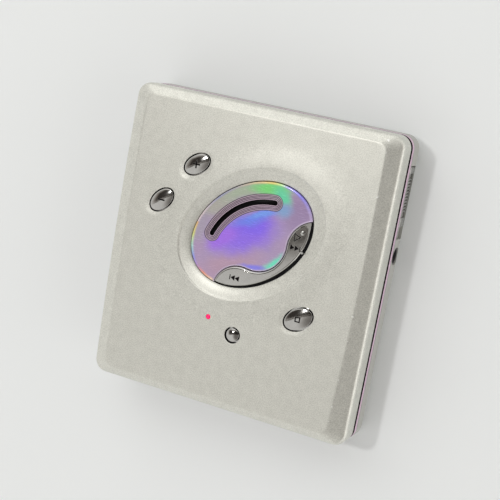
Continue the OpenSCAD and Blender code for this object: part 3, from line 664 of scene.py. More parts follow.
# %% Drawing an outline in
def drawn_in(outline, amount):
    """An outline moved inwards, with its corners kept sharp."""
    ahead = np.roll(outline, -1, 0)
    area = np.sum(outline[:, 0] * ahead[:, 1] - outline[:, 1] * ahead[:, 0])
    run = ahead - outline
    run /= np.linalg.norm(run, axis=1)[:, None]
    side = np.column_stack((-run[:, 1], run[:, 0])) * math.copysign(1, area)
    mean = side + np.roll(side, 1, 0)
    mean /= np.linalg.norm(mean, axis=1)[:, None]
    stretch = 1 / np.clip(np.sum(mean * side, axis=1), 0.5, 1)
    return outline + mean * (amount * stretch)[:, None]


def plate(outline, steps, finish):
    """A closed form from (drawn in, height) steps, flat on top and below."""
    return stack([raised(drawn_in(outline, d) if d else outline, z) for d, z in steps], finish)


def slot_outline(half):
    """A band that follows the slot's arc, with round ends."""
    def cap(angle, start):
        middle = (SLOT_C[0] + SLOT_R * math.cos(angle), SLOT_C[1] + SLOT_R * math.sin(angle))
        return arc(middle, half, start, start + math.pi, 14)[1:-1]
    return np.vstack((arc(SLOT_C, SLOT_R + half, SLOT_FROM, SLOT_TO, 48), cap(SLOT_TO, SLOT_TO),
                      arc(SLOT_C, SLOT_R - half, SLOT_TO, SLOT_FROM, 48), cap(SLOT_FROM, SLOT_FROM + math.pi)))


print("slot outline spans", np.ptp(slot_outline(SLOT_HALF), axis=0).round(2), "mm")

# %% [markdown]
# ## Film that shifts from violet to green
#
# The badge is covered with a film that splits light, as a disc does, so its colour depends on where
# one looks. A material here must not depend on the camera, so the colours that such a film shows are
# laid down in soft patches: violet in the middle, blue under the slot, green along the top, a streak
# of sea green beside the key, and warm tones at the lower rim. Fine brushing breaks them up.

# %% The film
film = Finish("iridescent_film", (0.5, 0.4, 0.6), 0.25, 0.2, Coat_Weight=0.25, Coat_Roughness=0.06)
# Middle, half axes, tilt in degrees, colour and softness of each patch
PATCHES = [
    ((-9, 14.0), (12, 5.5), 42, (0.47, 0.46, 0.42), 0.7),
    ((-12, 6.5), (6, 4.5), 60, (0.44, 0.38, 0.50), 0.8),
    ((-2, -1.5), (12, 4.5), 25, (0.50, 0.33, 0.46), 0.8),
    ((14.0, 15.0), (6.0, 7.0), 10, (0.36, 0.26, 0.46), 0.7),
    ((0.3, 7.0), (13.5, 6.8), 27, (0.30, 0.16, 0.92), 0.75),
    ((-5.0, 4.8), (6.5, 3.2), 35, (0.40, 0.17, 0.92), 0.7),
    ((3.0, 9.4), (7.5, 2.6), 24, (0.25, 0.14, 0.98), 0.9),
    ((2.6, 11.7), (9.5, 2.6), 27, (0.17, 0.25, 0.98), 0.8),
    ((4.4, 12.9), (5.5, 1.4), 17, (0.20, 0.38, 1.00), 0.8),
    ((-1.6, 17.6), (9.0, 3.0), 27, (0.44, 0.52, 0.40), 0.8),
    ((5.6, 19.9), (8.6, 2.5), 6, (0.22, 0.78, 0.22), 0.8),
    ((8.6, 18.6), (4.0, 3.0), -28, (0.16, 0.74, 0.44), 0.8),
    ((10.0, 15.2), (3.2, 3.4), -20, (0.26, 0.42, 0.72), 0.9),
    ((9.9, 1.6), (5.4, 2.1), 46, (0.16, 0.86, 0.60), 0.8),
    ((4.6, -0.6), (5.4, 1.2), 6, (0.26, 0.24, 0.90), 0.8),
]


def oval_reach(x, y, centre, radii, tilt):
    """0 in the middle of a tilted oval, 1 on it and more outside."""
    u, v = turned(x, y, centre, tilt)
    u, v = u * (1 / radii[0]), v * (1 / radii[1])
    return (u * u + v * v).sum("SQRT")


wobble = film.noise(5.0) * 2.4 - 1.2
colour = film.noise(7.0, 1.0).blend((0.40, 0.31, 0.54), (0.52, 0.36, 0.54))
wx, wy = film.x + wobble, film.y - wobble
for middle, radii, tilt, paint, soft in PATCHES:
    inside = 1 - oval_reach(wx, wy, middle, radii, math.radians(tilt)).step(1 - soft, 1)
    colour = inside.blend(colour, paint)
streaks = film.noise(1 / 2.4, 3.0, (0.25, 4.0, 1.0))
colour = (streaks.step(0.35, 0.75) * 0.07).blend(colour, (0.72, 0.62, 0.72))
print("film patches laid")

# %% [markdown]
# At the rim of the plate the film bends over the edge, and there a thin painted highlight runs through
# the whole spectrum of the film's colours. The line's colour is picked by the angle round the plate, from
# a ramp. The edge beside the key gets a painted highlight too, a bright line found from the same three
# arcs that shape it.

# %% The film's edges
RIM_COLOURS = [
    (0.0, (0.95, 0.55, 0.22)), (0.035, (0.80, 0.85, 0.25)), (0.06, (0.50, 0.90, 0.75)), (0.088, (0.30, 0.35, 0.90)),
    (0.112, (0.50, 0.30, 0.60)), (0.135, (0.95, 0.35, 0.18)), (0.165, (1.0, 0.78, 0.55)), (0.58, (0.60, 0.50, 0.78)),
    (0.63, (0.26, 0.24, 0.90)), (0.67, (0.36, 0.30, 0.80)), (0.69, (0.55, 0.80, 0.30)), (0.712, (0.98, 0.66, 0.20)),
    (0.765, (0.80, 0.62, 0.40)), (0.83, (0.50, 0.47, 0.52)), (0.90, (0.36, 0.38, 0.62)), (0.97, (0.85, 0.72, 0.74))]
inside_rim = (1 - oval_reach(film.x, film.y, BADGE, (BADGE_A, BADGE_B), BADGE_TILT)) * 14.5
round_rim = (film.y - BADGE[1]).sum("ARCTAN2", film.x - BADGE[0]) * (1 / FULL_TURN) + 0.5
spectrum = film.add("ShaderNodeValToRGB", {}, {0: round_rim})
stops = spectrum.socket.node.color_ramp.elements
stops.remove(stops[1])
for at, paint in RIM_COLOURS:
    (stops.new(at) if at else stops[0]).color = (*paint, 1)
# Painted highlight in the film's spectral colours along the plate's rim
rim_highlight = 1 - (inside_rim + wobble * 0.12).step(0.35, 0.95)
colour = (rim_highlight * 0.85).blend(colour, spectrum)


def beside_arc(centre, radius, within):
    """1 on the film beside one of the wavy line's arcs, fading over half a millimetre."""
    return (1 - (film.away(centre) - radius).size().step(0.22, 0.55)) * within


# Painted highlight: a bright line on the film beside the key's edge
waist_side = ((film.x - WAIST[0]) * 0.64 - (film.y - WAIST[1]) * 0.77).step(4.6, 4.9)
key_edge_highlight = either(beside_arc(WAIST, WAIST_R - 0.1, waist_side),
                  beside_arc(UPPER, UPPER_R + 0.1, film.x.step(11.6, 11.9)),
                  beside_arc(LOWER, LOWER_R + 0.1, 1 - film.y.step(-0.9, -0.6)))
colour = (key_edge_highlight * 0.8).blend(colour, (0.74, 0.64, 0.84))
print("film edges drawn")

# %% [markdown]
# Round the slot the film is bare in a band with four hairlines that follow the slot. The distance to
# the slot's middle line is worked out from two circles: beside the arc it is the distance to the
# circle, and past an end it is the distance to that end's point.

# %% Hairlines round the slot
def slot_distance():
    beside = (film.away(SLOT_C) - SLOT_R).size()
    angle = (film.y - SLOT_C[1]).sum("ARCTAN2", film.x - SLOT_C[0])
    within = angle.sum("GREATER_THAN", SLOT_FROM) * angle.sum("LESS_THAN", SLOT_TO)
    ends = [film.away((SLOT_C[0] + SLOT_R * math.cos(a), SLOT_C[1] + SLOT_R * math.sin(a)))
            for a in (SLOT_FROM, SLOT_TO)]
    return within * beside + (1 - within) * ends[0].sum("MINIMUM", ends[1])


slot_away = slot_distance()
hairlines = either(*(1 - (slot_away - at).size().step(0.05, 0.12) for at in (0.95, 1.3, 1.62, 2.02)))
bare = 1 - slot_away.step(2.0, 2.08)
colour = (bare * 0.9).blend(colour, (0.50, 0.38, 0.46))
film.set(Base_Color=hairlines.blend(colour, (0.045, 0.03, 0.06)), Roughness=0.2 + streaks * 0.12)
film.bump(streaks * 0.2 - hairlines, 0.03, 0.4)
print("film has", len(film.tree.nodes), "nodes")

# %% The badge plate
PLATE_EDGE = [(0, BADGE_Z), (0, 15.12), (0.05, 15.2), (0.14, 15.26), (0.3, 15.295), (0.5, BADGE_TOP)]
badge = plate(badge_outline, PLATE_EDGE, film)
# The slot's walls get the near-black painted shade
cut(badge, [prism(slot_outline(SLOT_HALF), 14, 16, gap_shade),
            prism(slot_outline(2.1), BADGE_TOP - 0.06, 16, film)])
settle(badge, "badge_film", "lid", "badge_plate", smooth=50)

glass_black = Finish("black_window", (0.003, 0.003, 0.004), 0.3, Specular_IOR_Level=0.06)
glass_black.mottle(3.0, (0.001, 0.001, 0.0015), (0.005, 0.004, 0.005))
window_pane = plate(slot_outline(SLOT_HALF + 0.8), [(0, 14.45), (0, 14.72), (0.06, 14.75)], glass_black)
settle(window_pane, "window_pane", "lid", "window_lens")
print("badge and window made")

# %% [markdown]
# ## Bright plating
#
# The keys are plastic with a chrome-like plating. It is a mirror, so its look comes from what it
# reflects, and the material only adds what breaks a perfect mirror: faint smears in the roughness
# and a shallow waviness left by the mould. Marks are sunk into it as a darker, rougher line.

# %% The plating and its marks
STROKE = (1.05, 0.2)
SKIP, SKIP_BAR = 1.2, (0.65, 0.12)


def bar(made, centre, half_length, half_width, tilt=0.0):
    """1 on a short bar, 0 off it."""
    u, v = turned(made.x, made.y, centre, math.radians(tilt))
    along_bar = 1 - u.size().step(half_length - 0.05, half_length + 0.05)
    return along_bar * (1 - v.size().step(half_width - 0.05, half_width + 0.05))


def pointer(made, tip, size, turn=0.0):
    """A small solid triangle that points along turn."""
    u, v = turned(made.x, made.y, tip, math.radians(turn))
    u = u * -1.0
    length = u.step(-0.03, 0.05) * (1 - u.step(size - 0.05, size + 0.03))
    return length * (1 - (v.size() - u * 0.6).step(-0.04, 0.04))


def plus_mark(made, centre):
    return either(bar(made, centre, *STROKE), bar(made, centre, *STROKE, 90))


def minus_mark(made, centre):
    return bar(made, centre, *STROKE)


def square_mark(made, centre):
    return bar(made, centre, 0.72, 0.72) * (1 - bar(made, centre, 0.4, 0.4))


def skip_mark(made, x, y, turn):
    """Two small triangles and a bar."""
    way = 1 if turn == 0 else -1
    return either(pointer(made, (x, y), SKIP, turn), pointer(made, (x - way * SKIP, y), SKIP, turn),
                  bar(made, (x + way * 0.15, y), *SKIP_BAR, 90))


def key_marks(made, centre):
    """Play, and the two skip marks, at the ends of the crescent."""
    play = pointer(made, (15.7, 9.75), 1.9, 8) - pointer(made, (15.2, 9.7), 1.15, 8)
    return either(play.sum("MAXIMUM", 0.0), skip_mark(made, 15.7, 6.9, 0), skip_mark(made, -0.85, -4.35, 180))


def plating(name, mark_of=None, centre=None):
    made = Finish(name, (0.66, 0.65, 0.63), 0.1, 1.0)
    smear = made.noise(1.4, 3.0)
    colour = smear.blend((0.38, 0.375, 0.36), (0.50, 0.495, 0.48))
    rough = 0.07 + smear * 0.08
    if mark_of:
        mark = mark_of(made, centre)
        colour = mark.blend(colour, (0.012, 0.011, 0.011))
        rough = rough + mark * 0.6
    made.set(Base_Color=colour, Roughness=rough)
    made.bump(made.noise(2.6, 1.0) * 0.35, 0.03, 0.5)
    return made


print("marks ready")

# %% Buttons
CROWN = [(f, -0.37 * (f / 0.94) ** 2) for f in (0.94, 0.88, 0.8, 0.7, 0.6, 0.5, 0.4, 0.3, 0.2, 0.1, 0.02)]
SKIRT = [(1, -0.52), (0.996, -0.47), (0.985, -0.43), (0.965, -0.40)]
FLANGE, STEM_R, PLAY = 0.6, 0.8, 0.22


def crowned_button(name, mark_of=None):
    """A domed button with the flange that keeps it in, as rings that shrink towards its top."""
    centre, a, b, tilt = OVALS[name]
    a, b = a - PLAY, b - PLAY
    top = 16.03 if mark_of else 15.86
    steps = [(STEM_R, STEM_R, 14.02), (STEM_R, STEM_R, 14.15), (a + FLANGE, b + FLANGE, 14.15),
             (a + FLANGE, b + FLANGE, 14.4), (a, b, 14.4)]
    steps += [(a * f, b * f, top + z) for f, z in SKIRT + CROWN]
    rings = [raised(oval_points(centre, ring_a, ring_b, tilt, 72), z) for ring_a, ring_b, z in steps]
    made = stack(rings, plating(name + "_plating", mark_of, centre))
    settle(made, name + "_cap", name, name, smooth=40)


crowned_button("volume_up_button", plus_mark)
crowned_button("volume_down_button", minus_mark)
crowned_button("stop_button", square_mark)
crowned_button("mode_button")
print("four buttons made")

# %% [markdown]
# ## The crescent key
#
# The key is a pillow too, but its outline is no oval. Points are laid along the outline, in lines
# beside it where the surface bends, and in a grid inside, and a Delaunay net joins them. Each point's
# height follows from how far it is from the outline: steep at the edge, level inside. Below it the key
# keeps the stems and the axle that the solid has, as a piece of their own that is near black as painted
# shade. A pip stands on the upper lobe for the thumb to find.

# %% Crescent key
PIP, PIP_R, PIP_HIGH = (15.8, 11.0), 0.5, 0.2
KEY_TOP, KEY_UNDER, KEY_SOFT, KEY_DROP = 15.76, 15.07, 0.45, 0.32
KEY_LOWEST, KEY_HIGHEST, STEM_TOP = 15.15, 16.04, 15.12
# Away from this place the whole key falls a little
KEY_CREST, KEY_CURVE = (1.0, -5.0), 900
TAB, TAB_Z = ((16.68, 6.15), 0.36, 0.28, 0), (15.3, 15.72)
GRID = 0.24


def edge_distance(points, outline):
    """How far each point is from an outline's line."""
    nearest = np.full(len(points), np.inf)
    for a, b in zip(outline, np.roll(outline, -1, 0)):
        run = b - a
        share = np.clip((points - a) @ run / (run @ run), 0, 1)
        nearest = np.minimum(nearest, np.hypot(*(points - a - share[:, None] * run).T))
    return nearest


def key_net():
    """The points of the net, and its triangles."""
    bands = [key_outline]
    for depth in (0.05, 0.1, 0.16, 0.23, 0.31, 0.4, 0.5, 0.62):
        line = drawn_in(key_outline, depth)
        bands.append(line[edge_distance(line, key_outline) > depth - 0.02])
    low, high = key_outline.min(0), key_outline.max(0)
    grid = np.meshgrid(np.arange(low[0], high[0], GRID), np.arange(low[1], high[1], GRID))
    field = np.column_stack([axis.ravel() for axis in grid])
    bands.append(field[edge_distance(field, key_outline) > 0.72])
    bands += [arc(PIP, r, 0, FULL_TURN, 25)[:-1] for r in (0.1, 0.2, 0.3, 0.4, 0.5)]
    points = [Vector(p) for p in np.vstack(bands).tolist()]
    net = delaunay_2d_cdt(points, [], [list(range(len(key_outline)))], 1, 1e-6)
    return np.array([tuple(v) for v in net[0]]), [tuple(t) for t in net[2]]


def crescent_key():
    flat, triangles = key_net()
    edge = edge_distance(flat, key_outline)
    fall = np.hypot(flat[:, 0] - KEY_CREST[0], flat[:, 1] - KEY_CREST[1])
    z = KEY_TOP - KEY_DROP * np.clip(1 - edge / KEY_SOFT, 0, 1) ** 2 - fall ** 2 / KEY_CURVE
    z += PIP_HIGH * np.clip(1 - (np.hypot(flat[:, 0] - PIP[0], flat[:, 1] - PIP[1]) / PIP_R) ** 2, 0, None)
    total = len(flat)
    sides = {(a, b) for t in triangles for a, b in zip(t, t[1:] + t[:1])}
    faces = triangles + [tuple(v + total for v in reversed(t)) for t in triangles]
    faces += [(b, a, a + total, b + total) for a, b in sides if (b, a) not in sides]
    finish = plating("key_plating", key_marks)
    made = form(np.vstack((raised(flat, np.clip(z, KEY_LOWEST, KEY_HIGHEST)), raised(flat, KEY_UNDER))), faces, finish)
    cut(made, [prism(oval_points(*TAB, 24), *TAB_Z, finish)], "UNION")
    settle(made, "crescent_cap", "control_key", "control_key", smooth=40)
    print("key has", len(made.data.polygons), "faces")


crescent_key()
stems = new_object("key_stems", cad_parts["control_key"].data.copy())
# The stems and the axle are near black as painted shade under the key
stems.data.materials.clear()
stems.data.materials.append(gap_shade.material)
cut(stems, [block((-HALF_W, -HALF_H, 10), (HALF_W, HALF_H, STEM_TOP), gap_shade)], "INTERSECT")
settle(stems, "key_stems", "control_key", smooth=30)

# %% [markdown]
# The indicator is a short light pipe of tinted plastic with a lamp on the board behind it. It is lit,
# so its colour also goes into the emission.

# %% Indicator
PIPE = [(0.85, 14.25), (0.85, 14.5), (0.64, 14.5), (0.64, 15.60), (0.57, 15.66), (0.38, 15.70), (0.05, 15.715)]
glow = Finish("indicator_red", (0.9, 0.03, 0.12), 0.25, Emission_Strength=1.0)
hot = 1 - glow.away(LAMP).step(0.15, 0.68)
glow.set(Base_Color=hot.blend((0.55, 0.0, 0.06), (0.8, 0.01, 0.10)),
         Emission_Color=hot.blend((0.55, 0.0, 0.06), (0.9, 0.006, 0.12)))
light_pipe = stack([raised(circle(LAMP, r), z) for r, z in PIPE], glow)
settle(light_pipe, "light_pipe", "lid", "indicator_lens")
print("indicator lit")

# %% [markdown]
# ## The middle band
#
# Between the lid and the back runs a lavender band with a groove above it and a finer one below. Faces
# down in the grooves are near black as painted shade. It is one closed profile carried round the outline.

# %% Lavender band
lavender = Finish("lavender_paint", (0.60, 0.42, 0.56), 0.35, 0.3, Coat_Weight=0.2, Coat_Roughness=0.2)
band_flake = lavender.noise(0.16, 1.0)
lavender.set(Base_Color=band_flake.step(0.3, 0.7).blend((0.58, 0.42, 0.54), (0.74, 0.54, 0.67)),
             Roughness=0.3 + band_flake * 0.15)
lavender.bump(band_flake, 0.01, 0.3)
# Near-black painted shade for the faces down in the grooves
groove_shade = Finish("groove_shade_plastic", (0.014, 0.006, 0.010), 0.6, Specular_IOR_Level=0.2)
groove_shade.mottle(1.5, (0.010, 0.004, 0.007), (0.020, 0.009, 0.014))

# (drawn in, height, is groove with painted shade) round the band's section, from its lower outer edge up
BAND = [(0.35, 6.35, 1), (0.35, 6.5, 1), (0.07, 6.51, 0), (0.03, 6.56, 0), (0.02, 6.66, 0), (0.02, 7.66, 0),
        (0.03, 7.74, 0), (0.08, 7.79, 1), (0.55, 7.8, 1), (0.55, 9.2, 1), (1.05, 9.2, 0), (1.05, 7.4, 0),
        (1.05, 6.9, 0), (1.5, 6.9, 0), (1.5, 6.35, 0)]
DOOR_FROM, DOOR_TO = -32.2, -14.85
band = form(np.vstack([ring(d, d, z) for d, z, _ in BAND]), loop_faces(len(BAND), RAYS, closed=True), lavender)
band.data.materials.append(groove_shade.material)
for face in band.data.polygons:
    low_ring, high_ring = min(face.vertices) // RAYS, max(face.vertices) // RAYS
    face.material_index = int(BAND[low_ring][2] and BAND[high_ring][2] and high_ring - low_ring == 1)
cut(band, [block((DOOR_FROM, -HALF_H - 1, 5.35), (DOOR_TO, -HALF_H + 3, BAND_LOW), groove_shade)])
settle(band, "band_ring", "base", "mid_frame", smooth=30)
print("band made")

# %% [markdown]
# ## The back
#
# The back cover is a shallow tray of grey plastic with a generously rounded edge. It is moulded with a
# fine matt texture, as spark erosion leaves in a mould, which hides fingerprints.

# %% Grey plastic
grey = Finish("grey_plastic", (0.42, 0.42, 0.39), 0.5)
texture = grey.noise(0.25)
grey.mottle(14, (0.38, 0.38, 0.355), (0.44, 0.44, 0.415), detail=3.0)
grey.set(Roughness=0.42 + texture * 0.2)
grey.bump(texture * 0.6 + grey.noise(0.9) * 0.4, 0.02, 0.5)
print("grey plastic ready")

# %% Back tray
JACK_Y, JACK_Z, JACK_NOSE = 9.1, 4.05, 2.25
SCREW_X, SCREW_Y, SCREW_HEAD = (-12.8, 29.3), (-35.7, 35.7), 1.6
EDGE = 3


def rounded(steps, in_from, up_from, radius):
    """(drawn in, height) along the tray's rounded edge, by degrees from the side down to the bottom."""
    return [(in_from + radius[0] * (1 - math.sin(a)), up_from + radius[1] * (1 - math.cos(a)))
            for a in np.radians(steps)]


outside = [(0, SHELL_TOP), (0, SHELL_TOP - 0.1)] + rounded(np.linspace(90, 0, 19), 0, 0, (EDGE, EDGE))
inside = rounded((0, 20, 40, 60, 80, 90), 1, 0.9, (2, 2.1)) + [(1, SHELL_TOP)]
tray = stack([ring(d, d, z) for d, z in outside[::-1] + inside[::-1]], grey)
nose = [(JACK_Y + JACK_NOSE * math.cos(t), JACK_Z + JACK_NOSE * math.sin(t))
        for t in np.linspace(0, FULL_TURN, 48, endpoint=False)]
cut(tray, [
    block((HALF_W - 0.85, 13.4, 2.3), (HALF_W + 1, 31.9, 6.1), grey),
    stack([[(x, y, z) for y, z in nose] for x in (HALF_W - 4, HALF_W + 1)], grey),
    block((19.7, -HALF_H - 1, 2.9), (26.3, -HALF_H + 0.6, 5.5), grey),
    block((-34.45, -HALF_H - 1, 1.45), (-32, -HALF_H + 1.55, 8), grey),
    block((-32.15, -HALF_H - 1, -1), (DOOR_TO, -HALF_H + 1.55, 8), grey),
    *(prism(circle((x, y), SCREW_HEAD), -1, 0.85, grey) for x in SCREW_X for y in SCREW_Y)])
settle(tray, "back_tray", "base", "back_cover", smooth=30)
print("tray made")

# %% [markdown]
# ## The battery door
#
# The door is a slice of the tray's own outline, so it is made from the same rings as the tray and cut
# to the room that the tray leaves. Its barrel turns on a pin near the corner, and three grooves near
# the free end give the nail a hold.

# %% Battery door
DOOR_PIN, BARREL, BARREL_Z = (-33.3, -38.2), 1.2, (1.6, 6.25)
door = stack([ring(d, d, z) for d, z in [(0, BAND_LOW - 0.05)] + outside[2:]], grey)
keep_in = block((-32, -HALF_H - 1, -1), (-15, -37.75, BAND_LOW), grey)
arm = block((DOOR_PIN[0], -HALF_H - 1, BARREL_Z[0]), (-31.9, -37.75, BARREL_Z[1]), grey)
cut(keep_in, [arm, prism(circle(DOOR_PIN, BARREL, 40), *BARREL_Z, grey)], "UNION")
cut(door, [keep_in], "INTERSECT")
cut(door, [prism(circle(DOOR_PIN, 0.45), 0, 8, grey)]
    + [block((x - 0.18, -HALF_H - 1, 2.2), (x + 0.18, -HALF_H + 0.17, 5.4), grey) for x in (-16.6, -17.5, -18.4)])
settle(door, "door_shell", "battery_door", "battery_door", smooth=30)
print("door made")

# %% [markdown]
# ## The slider and the hold switch
#
# Both are pushed with a thumb, so both have ribs. A rib is a half round; the outline seen from the
# front is drawn once, carried up through the height and drawn in at both ends to round them.

# %% Ribbed pieces
def ribbed_edge(middle, ribs, pitch, half, low, high):
    """(along, out) points of round ribs, spread evenly about a middle."""
    first = middle - pitch * (ribs - 1) / 2
    return [(first + i * pitch + half * math.cos(a), low + (high - low) * math.sin(a))
            for i in range(ribs) for a in np.linspace(math.pi, 0, 9)]


def rounded_stack(outline, low, high, soft, finish):
    some = soft * 0.35
    steps = [(soft, low), (some, low + some), (0, low + soft), (0, high - soft), (some, high - some), (soft, high)]
    return plate(np.array(outline), steps, finish)


slider_plating = plating("slider_plating")
pads = [(16.4, 35.95), (16.4, 36.55), (16.5, 36.68), (16.7, 36.73), (18.7, 36.73), (18.9, 36.68), (19.0, 36.4)]
pads += ribbed_edge(24.5, 11, 0.8, 0.3, 36.35, 36.68)
pads += [(29.8, 36.4), (29.9, 36.68), (30.1, 36.73), (31.3, 36.73), (31.5, 36.68), (31.6, 36.55), (31.6, 35.95)]
slider = rounded_stack([(x, y) for y, x in pads], 2.55, 5.85, 0.12, slider_plating)
cut(slider, [block((34.7, 22.6, 3.6), (36.05, 25.9, 4.8), slider_plating)], "UNION")
settle(slider, "slider_ribs", "open_slider", "open_slider", smooth=40)

dark_moulding = Finish("dark_plastic", (0.05, 0.05, 0.054), 0.5)
dark_moulding.mottle(2.0, (0.035, 0.035, 0.038), (0.065, 0.065, 0.07))
dark_moulding.bump(dark_moulding.noise(0.25), 0.015, 0.5)
grips = [(x, -y) for x, y in ribbed_edge(22.0, 6, 0.6, 0.24, 38.85, 39.1)]
knob_line = [(20.0, -38.6), (20.0, -38.85)] + grips + [(24.0, -38.85), (24.0, -38.6)]
knob = rounded_stack(knob_line, 3.1, 5.3, 0.1, dark_moulding)
cut(knob, [block((21.4, -38.65, 3.75), (22.6, -37.25, 4.65), dark_moulding)], "UNION")
settle(knob, "hold_ribs", "hold_knob", "hold_knob", smooth=40)
print("slider and hold knob made")

# %% [markdown]
# ## Metals of the mechanism
#
# Sheet metal comes from the mill with fine straight lines from rolling, and turned parts have rings
# round their axis. Both are one streaky noise: stretched along a line for sheet, and read by the
# distance from the axis for turned parts.

# %% Rolled and turned metal
def rolled(name, low, high, lay, rough):
    made = Finish(name, low, rough, 1.0)
    streaky = made.noise(1.0, 4.0, tuple(0.12 if axis == lay else 5.0 for axis in "XYZ"))
    stain = made.noise(9.0, 3.0)
    made.set(Base_Color=(streaky * 0.6 + stain * 0.4).step(0.3, 0.7).blend(low, high),
             Roughness=rough + stain * 0.16 - streaky * 0.08)
    made.bump(streaky, 0.01, 0.35)
    return made


SPINDLE = (1.4, 0.0)


def lathe_turned(name, low, high, rough):
    made = Finish(name, low, rough, 1.0)
    sockets = {"W": made.away(SPINDLE) * 4.0, "Detail": 3.0}
    turnings = made.add("ShaderNodeTexNoise", {"noise_dimensions": "1D"}, sockets)
    made.set(Base_Color=turnings.step(0.3, 0.7).blend(low, high), Roughness=rough + turnings * 0.14)
    made.bump(turnings, 0.01, 0.4)
    return made


for name, low, high, lay, rough, *nodes in (
        ("holder_steel", (0.50, 0.50, 0.49), (0.66, 0.66, 0.65), "Y", 0.34, "disc_holder"),
        ("chassis_steel", (0.42, 0.42, 0.42), (0.56, 0.56, 0.55), "X", 0.36, "chassis", "lid_hinge_plate"),
        ("spring_steel", (0.40, 0.39, 0.38), (0.55, 0.54, 0.52), "Z", 0.25, "latch_plate", "hinge_pins", "door_pin"),
        ("ground_rod", (0.62, 0.62, 0.62), (0.74, 0.74, 0.74), "Y", 0.14, "guide_rods"),
        ("screw_steel", (0.46, 0.46, 0.47), (0.60, 0.60, 0.61), "Z", 0.3, "lid_screws", "case_screws"),
        ("small_motor_can", (0.44, 0.44, 0.43), (0.58, 0.58, 0.56), "Y", 0.28, "feed_motor"),
        ("contact_gold", (0.75, 0.52, 0.22), (0.90, 0.68, 0.34), "Y", 0.24,
         "battery_contacts", "jack_contacts", "door_contact"),
        ("dome_steel", (0.55, 0.55, 0.54), (0.70, 0.70, 0.69), "X", 0.22, "switch_domes")):
    dress(rolled(name, low, high, lay, rough), *nodes)
for name, low, high, rough, node in (
        ("motor_can", (0.50, 0.50, 0.49), (0.66, 0.66, 0.64), 0.24, "spindle_motor"),
        ("turntable_metal", (0.34, 0.34, 0.35), (0.48, 0.48, 0.49), 0.2, "turntable"),
        ("magnet_ferrite", (0.10, 0.10, 0.11), (0.17, 0.17, 0.18), 0.35, "clamp_magnet")):
    dress(lathe_turned(name, low, high, rough), node)
dress(dark_moulding, "pickup_sled", "lens_actuator", "headphone_jack", "hold_switch")
print("metals dressed")

# %% [markdown]
# ## The latch spring
#
# The slider works against a coil spring. A coil is a circle that is carried along a screw line, with
# one of its axes pointing away from the coil's own axis. The spring is held at one end and shortens as
# the slider is drawn back.

# %% Coil spring
COIL_X, COIL_Z, COIL_FROM, COIL_TO, COIL_R, WIRE = 32.75, 4.4, 19.85, 29.55, 0.85, 0.15
COILS, PER_COIL = 9, 28
# The first and the last coil lie nearly closed
CLOSED = 0.8


def latch_coil():
    rows = []
    for i in range(COILS * PER_COIL + 1):
        t = i / (COILS * PER_COIL)
        level = max(0.0, min(1.0, (t * COILS - CLOSED) / (COILS - 2 * CLOSED)))
        y = COIL_FROM + WIRE + (COIL_TO - COIL_FROM - 2 * WIRE) * (level * 0.92 + t * 0.08)
        out = np.array((math.cos(FULL_TURN * COILS * t), 0, math.sin(FULL_TURN * COILS * t)))
        middle = np.array((COIL_X, y, COIL_Z)) + out * COIL_R
        rows.append([middle + WIRE * (out * math.cos(q) + np.array((0, 1, 0)) * math.sin(q))
                     for q in np.linspace(0, FULL_TURN, 10, endpoint=False)])
    made = stack(rows, rolled("spring_wire", (0.48, 0.47, 0.45), (0.62, 0.61, 0.59), "Y", 0.2))
    settle(made, "latch_coil", "base", "latch_spring", smooth=60)
    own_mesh(made)
    print("spring has", len(made.data.polygons), "faces")


latch_coil()

# %% [markdown]
# ## Feed screw
#
# The pickup is pushed along by a screw, so the plain rod of the solid gets a thread. Its grooves are so
# fine that rings along the rod look the same as one groove that climbs round it. Down in each groove the
# colour is painted dark as shade.

# %% Threaded rod
THREAD_PITCH = 0.6
thread = Finish("threaded_steel", (0.6, 0.6, 0.6), 0.22, 1.0)
groove = (thread.y * (FULL_TURN / THREAD_PITCH)).sum("SINE") * 0.5 + 0.5
# Painted shade: the colour goes dark down in each groove
thread.set(Base_Color=groove.blend((0.20, 0.20, 0.20), (0.70, 0.70, 0.69)), Roughness=0.32 - groove * 0.14)
thread.bump(groove, 0.12, 0.9)
dress(thread, "feed_screw")
print("thread cut")

# %% [markdown]
# ## Circuit boards
#
# A board is glass fibre under green solder mask. Copper tracks below the mask show as lighter lines.
# The board is divided into cells; in each the tracks run one way or the other, and bare gilt pads are
# scattered over them.

# %% Solder mask, tracks and pads
def board_finish(name, dark, light):
    made = Finish(name, dark, 0.35)
    corner = made.at.join("SNAP", made.at, (5.2, 6.4, 90.0))
    way = made.add("ShaderNodeTexWhiteNoise", {}, {"Vector": corner}).sum("GREATER_THAN", 0.5)
    lane = ((way * made.x + (1 - way) * made.y) * 1.3).sum("FRACT")
    tracks = lane.step(0.26, 0.34) * (1 - lane.step(0.58, 0.66)) * made.noise(3.0, 0.0).step(0.42, 0.46)
    spots = made.add("ShaderNodeTexVoronoi", {}, {"Vector": made.at * (1.0, 1.0, 0.02), "Scale": 0.42})
    gilt = 1 - spots.step(0.16, 0.2)
    made.set(Base_Color=gilt.blend(tracks.blend(dark, light), (0.80, 0.60, 0.28)), Metallic=gilt * 0.9,
             Roughness=0.42 - gilt * 0.15 + made.noise(4.0) * 0.08)
    made.bump(tracks * 0.6 + gilt, 0.035, 0.6)
    return made


dress(board_finish("circuit_board", (0.012, 0.10, 0.05), (0.03, 0.22, 0.10)), "main_board")
dress(board_finish("key_circuit", (0.10, 0.075, 0.02), (0.26, 0.20, 0.06)), "key_board")
print("boards dressed")

